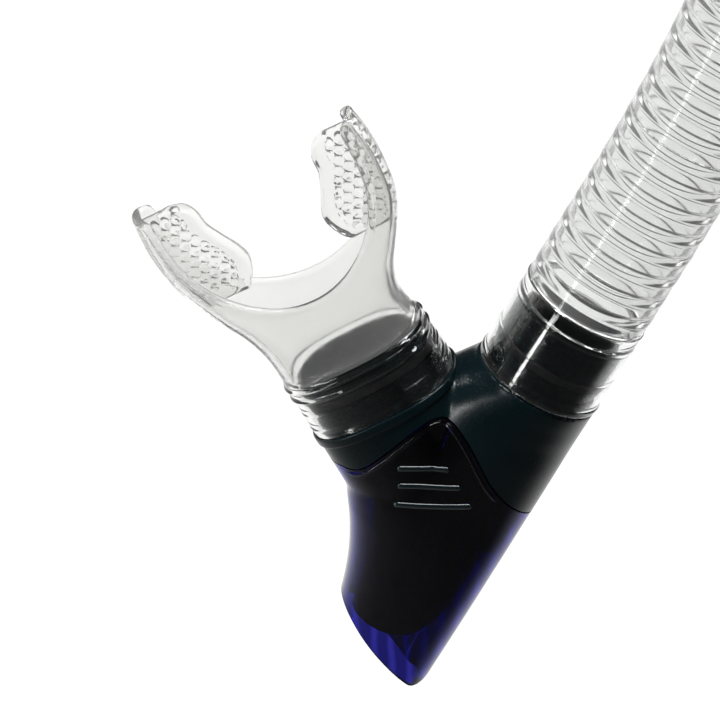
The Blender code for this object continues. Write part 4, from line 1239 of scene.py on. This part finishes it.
def makeKeeper():
    gap = snorkel["gap"]
    inner = upperPart["barrel"] + gap
    outer = inner + keeper["wall"]
    half = keeper["height"] / 2
    section = rounded([(inner, -half), (outer, -half), (outer, half), (inner, half)], 1.0 * mm, 5)
    centre = tubeFrame(connectorEnd + keeper["above"])
    start = keeper["mouth"] / 2
    steps = 96
    rings = []
    for i in range(steps + 1):
        angle = start + (math.tau - 2 * start) * i / steps
        flare = keeper["flare"] * max(0.0, 1 - min(i, steps - i) / 7) ** 2
        c = math.cos(angle)
        s = math.sin(angle)
        rings.append([centre @ Vector(((r + flare) * c, (r + flare) * s, z)) for r, z in section])
    clip = skin("keeperClip", rings)
    face = outer + keeper["bossProud"]
    wide = keeper["boss"]
    boss = [(outer - 1.4 * mm, wide), (face - 0.4 * mm, wide), (face, wide - 0.4 * mm)]
    combine(clip, turned("boss", boss, keeperAxis, 96, loop=False))
    hole = [(0.0, keeper["rivet"] + gap), (50 * mm, keeper["rivet"] + gap)]
    cut(clip, turned("hole", hole, keeperAxis, 48, loop=False))
    recess = [(0.0, keeper["head"] + gap), (inner + keeper["headHigh"] + 2 * gap, keeper["head"] + gap)]
    cut(clip, turned("recess", recess, keeperAxis, 64, loop=False))
    finishPiece(clip, teal, "keeper", "dark_teal_plastic", "keeper_clip")

    low = face + gap + 2.2 * mm
    high = low + keeper["plate"]
    tip = high - 1.8 * mm
    r = keeper["rivet"]
    head = keeper["head"]
    line = [
        (inner, head - 0.4 * mm), (inner + 0.4 * mm, head), (inner + keeper["headHigh"], head),
        (inner + keeper["headHigh"], r), (tip - 0.4 * mm, r), (tip, r - 0.4 * mm),
    ]
    rivet = turned("keeperRivet", line, keeperAxis, 64, loop=False)
    finishPiece(rivet, black, "keeper", "black_plastic", "keeper_rivet")

    tall = keeper["plateHalfHigh"]
    depth = keeper["plateHalfWide"] / tall
    line = [(low, tall - 0.8 * mm), (low + 0.2 * mm, tall - 0.35 * mm), (low + 0.7 * mm, tall)]
    line += [(high - 0.7 * mm, tall), (high - 0.2 * mm, tall - 0.35 * mm), (high, tall - 0.8 * mm)]
    buckle = turned("strapBuckle", line, keeperAxis, 160, 5.0, depth, loop=False)
    boss = [(low - 2.2 * mm, keeper["boss"]), (low + 1.0 * mm, keeper["boss"])]
    combine(buckle, turned("boss", boss, keeperAxis, 96, loop=False))
    tallSlot, wideSlot = keeper["slotHalf"]
    for side in (-1, 1):
        across = side * keeper["slotAt"]
        slot = softBlock((-tallSlot, across - wideSlot, 0.0), (tallSlot, across + wideSlot, 50 * mm),
                         keeperAxis(0.0), 1.6 * mm)
        cut(buckle, slot)
    hole = [(0.0, r + gap), (tip + gap, r + gap)]
    cut(buckle, turned("hole", hole, keeperAxis, 48, loop=False))
    finishPiece(buckle, teal, "buckle", "dark_teal_plastic", "strap_buckle")


chamber = {
    "sides": 96,
    # height, left edge, right edge, half depth
    "sections": [
        (-80.0, -9.5, 10.4, 8.4),
        (-70.0, -10.8, 10.8, 9.8),
        (-61.0, -13.5, 11.1, 10.6),
        (-49.0, -19.0, 11.2, 11.2),
        (-44.3, -20.0, 11.2, 11.4),
    ],
    "foot": [
        (-16.0, -73.8), (-11.0, -75.0), (-8.5, -75.6), (-6.0, -75.8), (-3.0, -75.7), (0.0, -75.2),
        (2.0, -74.5), (4.0, -73.3), (5.6, -71.8), (7.0, -69.8), (8.3, -67.4),
        (9.5, -65.0), (11.5, -62.0), (16.0, -57.0),
    ],
    "valveAcross": 0.6 * mm,
    "valve": 8.0 * mm,
    "seat": -58.0 * mm,
    "neck": 6.0 * mm,
}


def valveAxis(height):
    return straightTube(height, chamber["valveAcross"])


def makeChamber():
    gap = snorkel["gap"]
    rings = []
    low = chamber["sections"][0][0]
    top = chamber["sections"][-1][0]
    steps = 36
    for i in range(steps + 1):
        height = low + (top - low) * i / steps
        left, right, depth = blendBetween(chamber["sections"], height)
        matrix = straightTube(height * mm)
        ring = oval((right - left) / 2 * mm, depth * mm, chamber["sides"], 2.3, (left + right) / 2 * mm)
        rings.append([matrix @ p for p in ring])
    drain = skin("purgeChamber", rings)
    below = chamber["foot"] + [(16.0, -110.0), (-16.0, -110.0)]
    cut(drain, slab("foot", below, 30 * mm))
    top = top * mm
    outer = spigot["bore"] - gap
    neck = [(top - 1 * mm, outer), (top + chamber["neck"], outer)]
    combine(drain, turned("neck", neck, straightTube, 96, loop=False))
    r = chamber["valve"]
    bore = [(-200 * mm, r - 1.2 * mm), (top - 3 * mm, r - 1.2 * mm)]
    cut(drain, turned("bore", bore, valveAxis, 72, loop=False))
    room = [(-200 * mm, r + gap), (chamber["seat"] + gap, r + gap)]
    cut(drain, turned("seatRoom", room, valveAxis, 72, loop=False))
    bore = [(top - 4 * mm, outer - 1.6 * mm), (0.0, outer - 1.6 * mm)]
    cut(drain, turned("neckBore", bore, straightTube, 72, loop=False))
    finishPiece(drain, black, "housing", "black_plastic", "purge_chamber")


makeBarrel()
makeConnector()
makeSeals()
makeGuard()
makeKeeper()
makeChamber()
print("barrel, guard, keeper and chamber made")

cadMaterials = {"purge_valve_seat": black, "purge_valve_flap": silicone}
for node, mat in cadMaterials.items():
    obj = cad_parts[node]
    obj.data.materials.clear()
    obj.data.materials.append(mat)


studio = {
    "right": Vector((0.877, 0, 0.480)),
    "view": Vector((0.2255, 0.8829, -0.4118)),
    "viewWidth": 174.528 * mm,
    "lens": 500,
    "sensor": 36,
    "aimRight": -43.1 * mm,
    "aimUp": 4.1 * mm,
    "floorDrop": 600 * mm,
    "glowFrom": -0.5,
    "glowTo": 0.7,
}


def makeCamera():
    right = studio["right"].normalized()
    view = studio["view"].normalized()
    up = right.cross(view)
    target = tubeFoot + right * studio["aimRight"] + up * studio["aimUp"]
    distance = studio["viewWidth"] * studio["lens"] / studio["sensor"]
    data = bpy.data.cameras.new("camera")
    data.lens = studio["lens"]
    data.sensor_width = studio["sensor"]
    data.clip_end = 30
    camera = addObject("camera", data)
    camera.matrix_world = fromAxes(right, up, -view, target - view * distance)
    bpy.context.scene.camera = camera


def makeFloor():
    clearSelection()
    bpy.ops.mesh.primitive_plane_add(size=12, location=(0, 0, cadBox[0][2] - studio["floorDrop"]))
    floor = bpy.context.object
    floor.name = "floor"
    mat, tree, shader = newMaterial("paleFloor")
    ramp(tree, noiseOn(tree, 3.0), grey(0.34), grey(0.38), shader.inputs["Base Color"])
    shader.inputs["Roughness"].default_value = 0.9
    shader.inputs["Specular IOR Level"].default_value = 0.1
    # the back of the floor glows like a lit table, the front is left dim
    where = tree.nodes.new("ShaderNodeTexCoord")
    split = tree.nodes.new("ShaderNodeSeparateXYZ")
    tree.links.new(where.outputs["Object"], split.inputs["Vector"])
    glow = tree.nodes.new("ShaderNodeMapRange")
    glow.interpolation_type = "SMOOTHSTEP"
    glow.inputs["From Min"].default_value = studio["glowFrom"]
    glow.inputs["From Max"].default_value = studio["glowTo"]
    tree.links.new(split.outputs["Y"], glow.inputs["Value"])
    shader.inputs["Emission Color"].default_value = (1, 1, 1, 1)
    tree.links.new(glow.outputs["Result"], shader.inputs["Emission Strength"])
    floor.data.materials.append(mat)


def softBox(name, location, target, width, height, power, along):
    # the long side of the light lies along the given direction
    data = bpy.data.lights.new(name, "AREA")
    data.shape = "RECTANGLE"
    data.size = width
    data.size_y = height
    data.energy = power
    light = addObject(name, data)
    back = (Vector(location) - Vector(target)).normalized()
    across = (along - back * along.dot(back)).normalized()
    light.matrix_world = fromAxes(across, back.cross(across), back, location)


makeCamera()
makeFloor()
middle = tubeFoot + Vector((-10 * mm, 0, -10 * mm))
upright = Vector((0, 0, 1))
sideways = studio["right"].normalized()
softBox("stripLight", middle + Vector((-0.82, -0.74, -0.30)), middle, 0.75, 0.11, 4, upright)
softBox("topLight", middle + Vector((-0.43, -0.22, 0.82)), middle, 0.85, 0.14, 10, sideways)
softBox("backLight", middle + Vector((0.5, 0.9, 0.7)), middle, 0.8, 0.5, 3, sideways)
world = bpy.data.worlds.new("studioWorld")
world.use_nodes = True
world.node_tree.nodes["Background"].inputs["Color"].default_value = (0.93, 0.95, 0.97, 1)
world.node_tree.nodes["Background"].inputs["Strength"].default_value = 0.07
bpy.context.scene.world = world
bpy.context.scene.view_settings.view_transform = "Standard"
print("camera and light made")
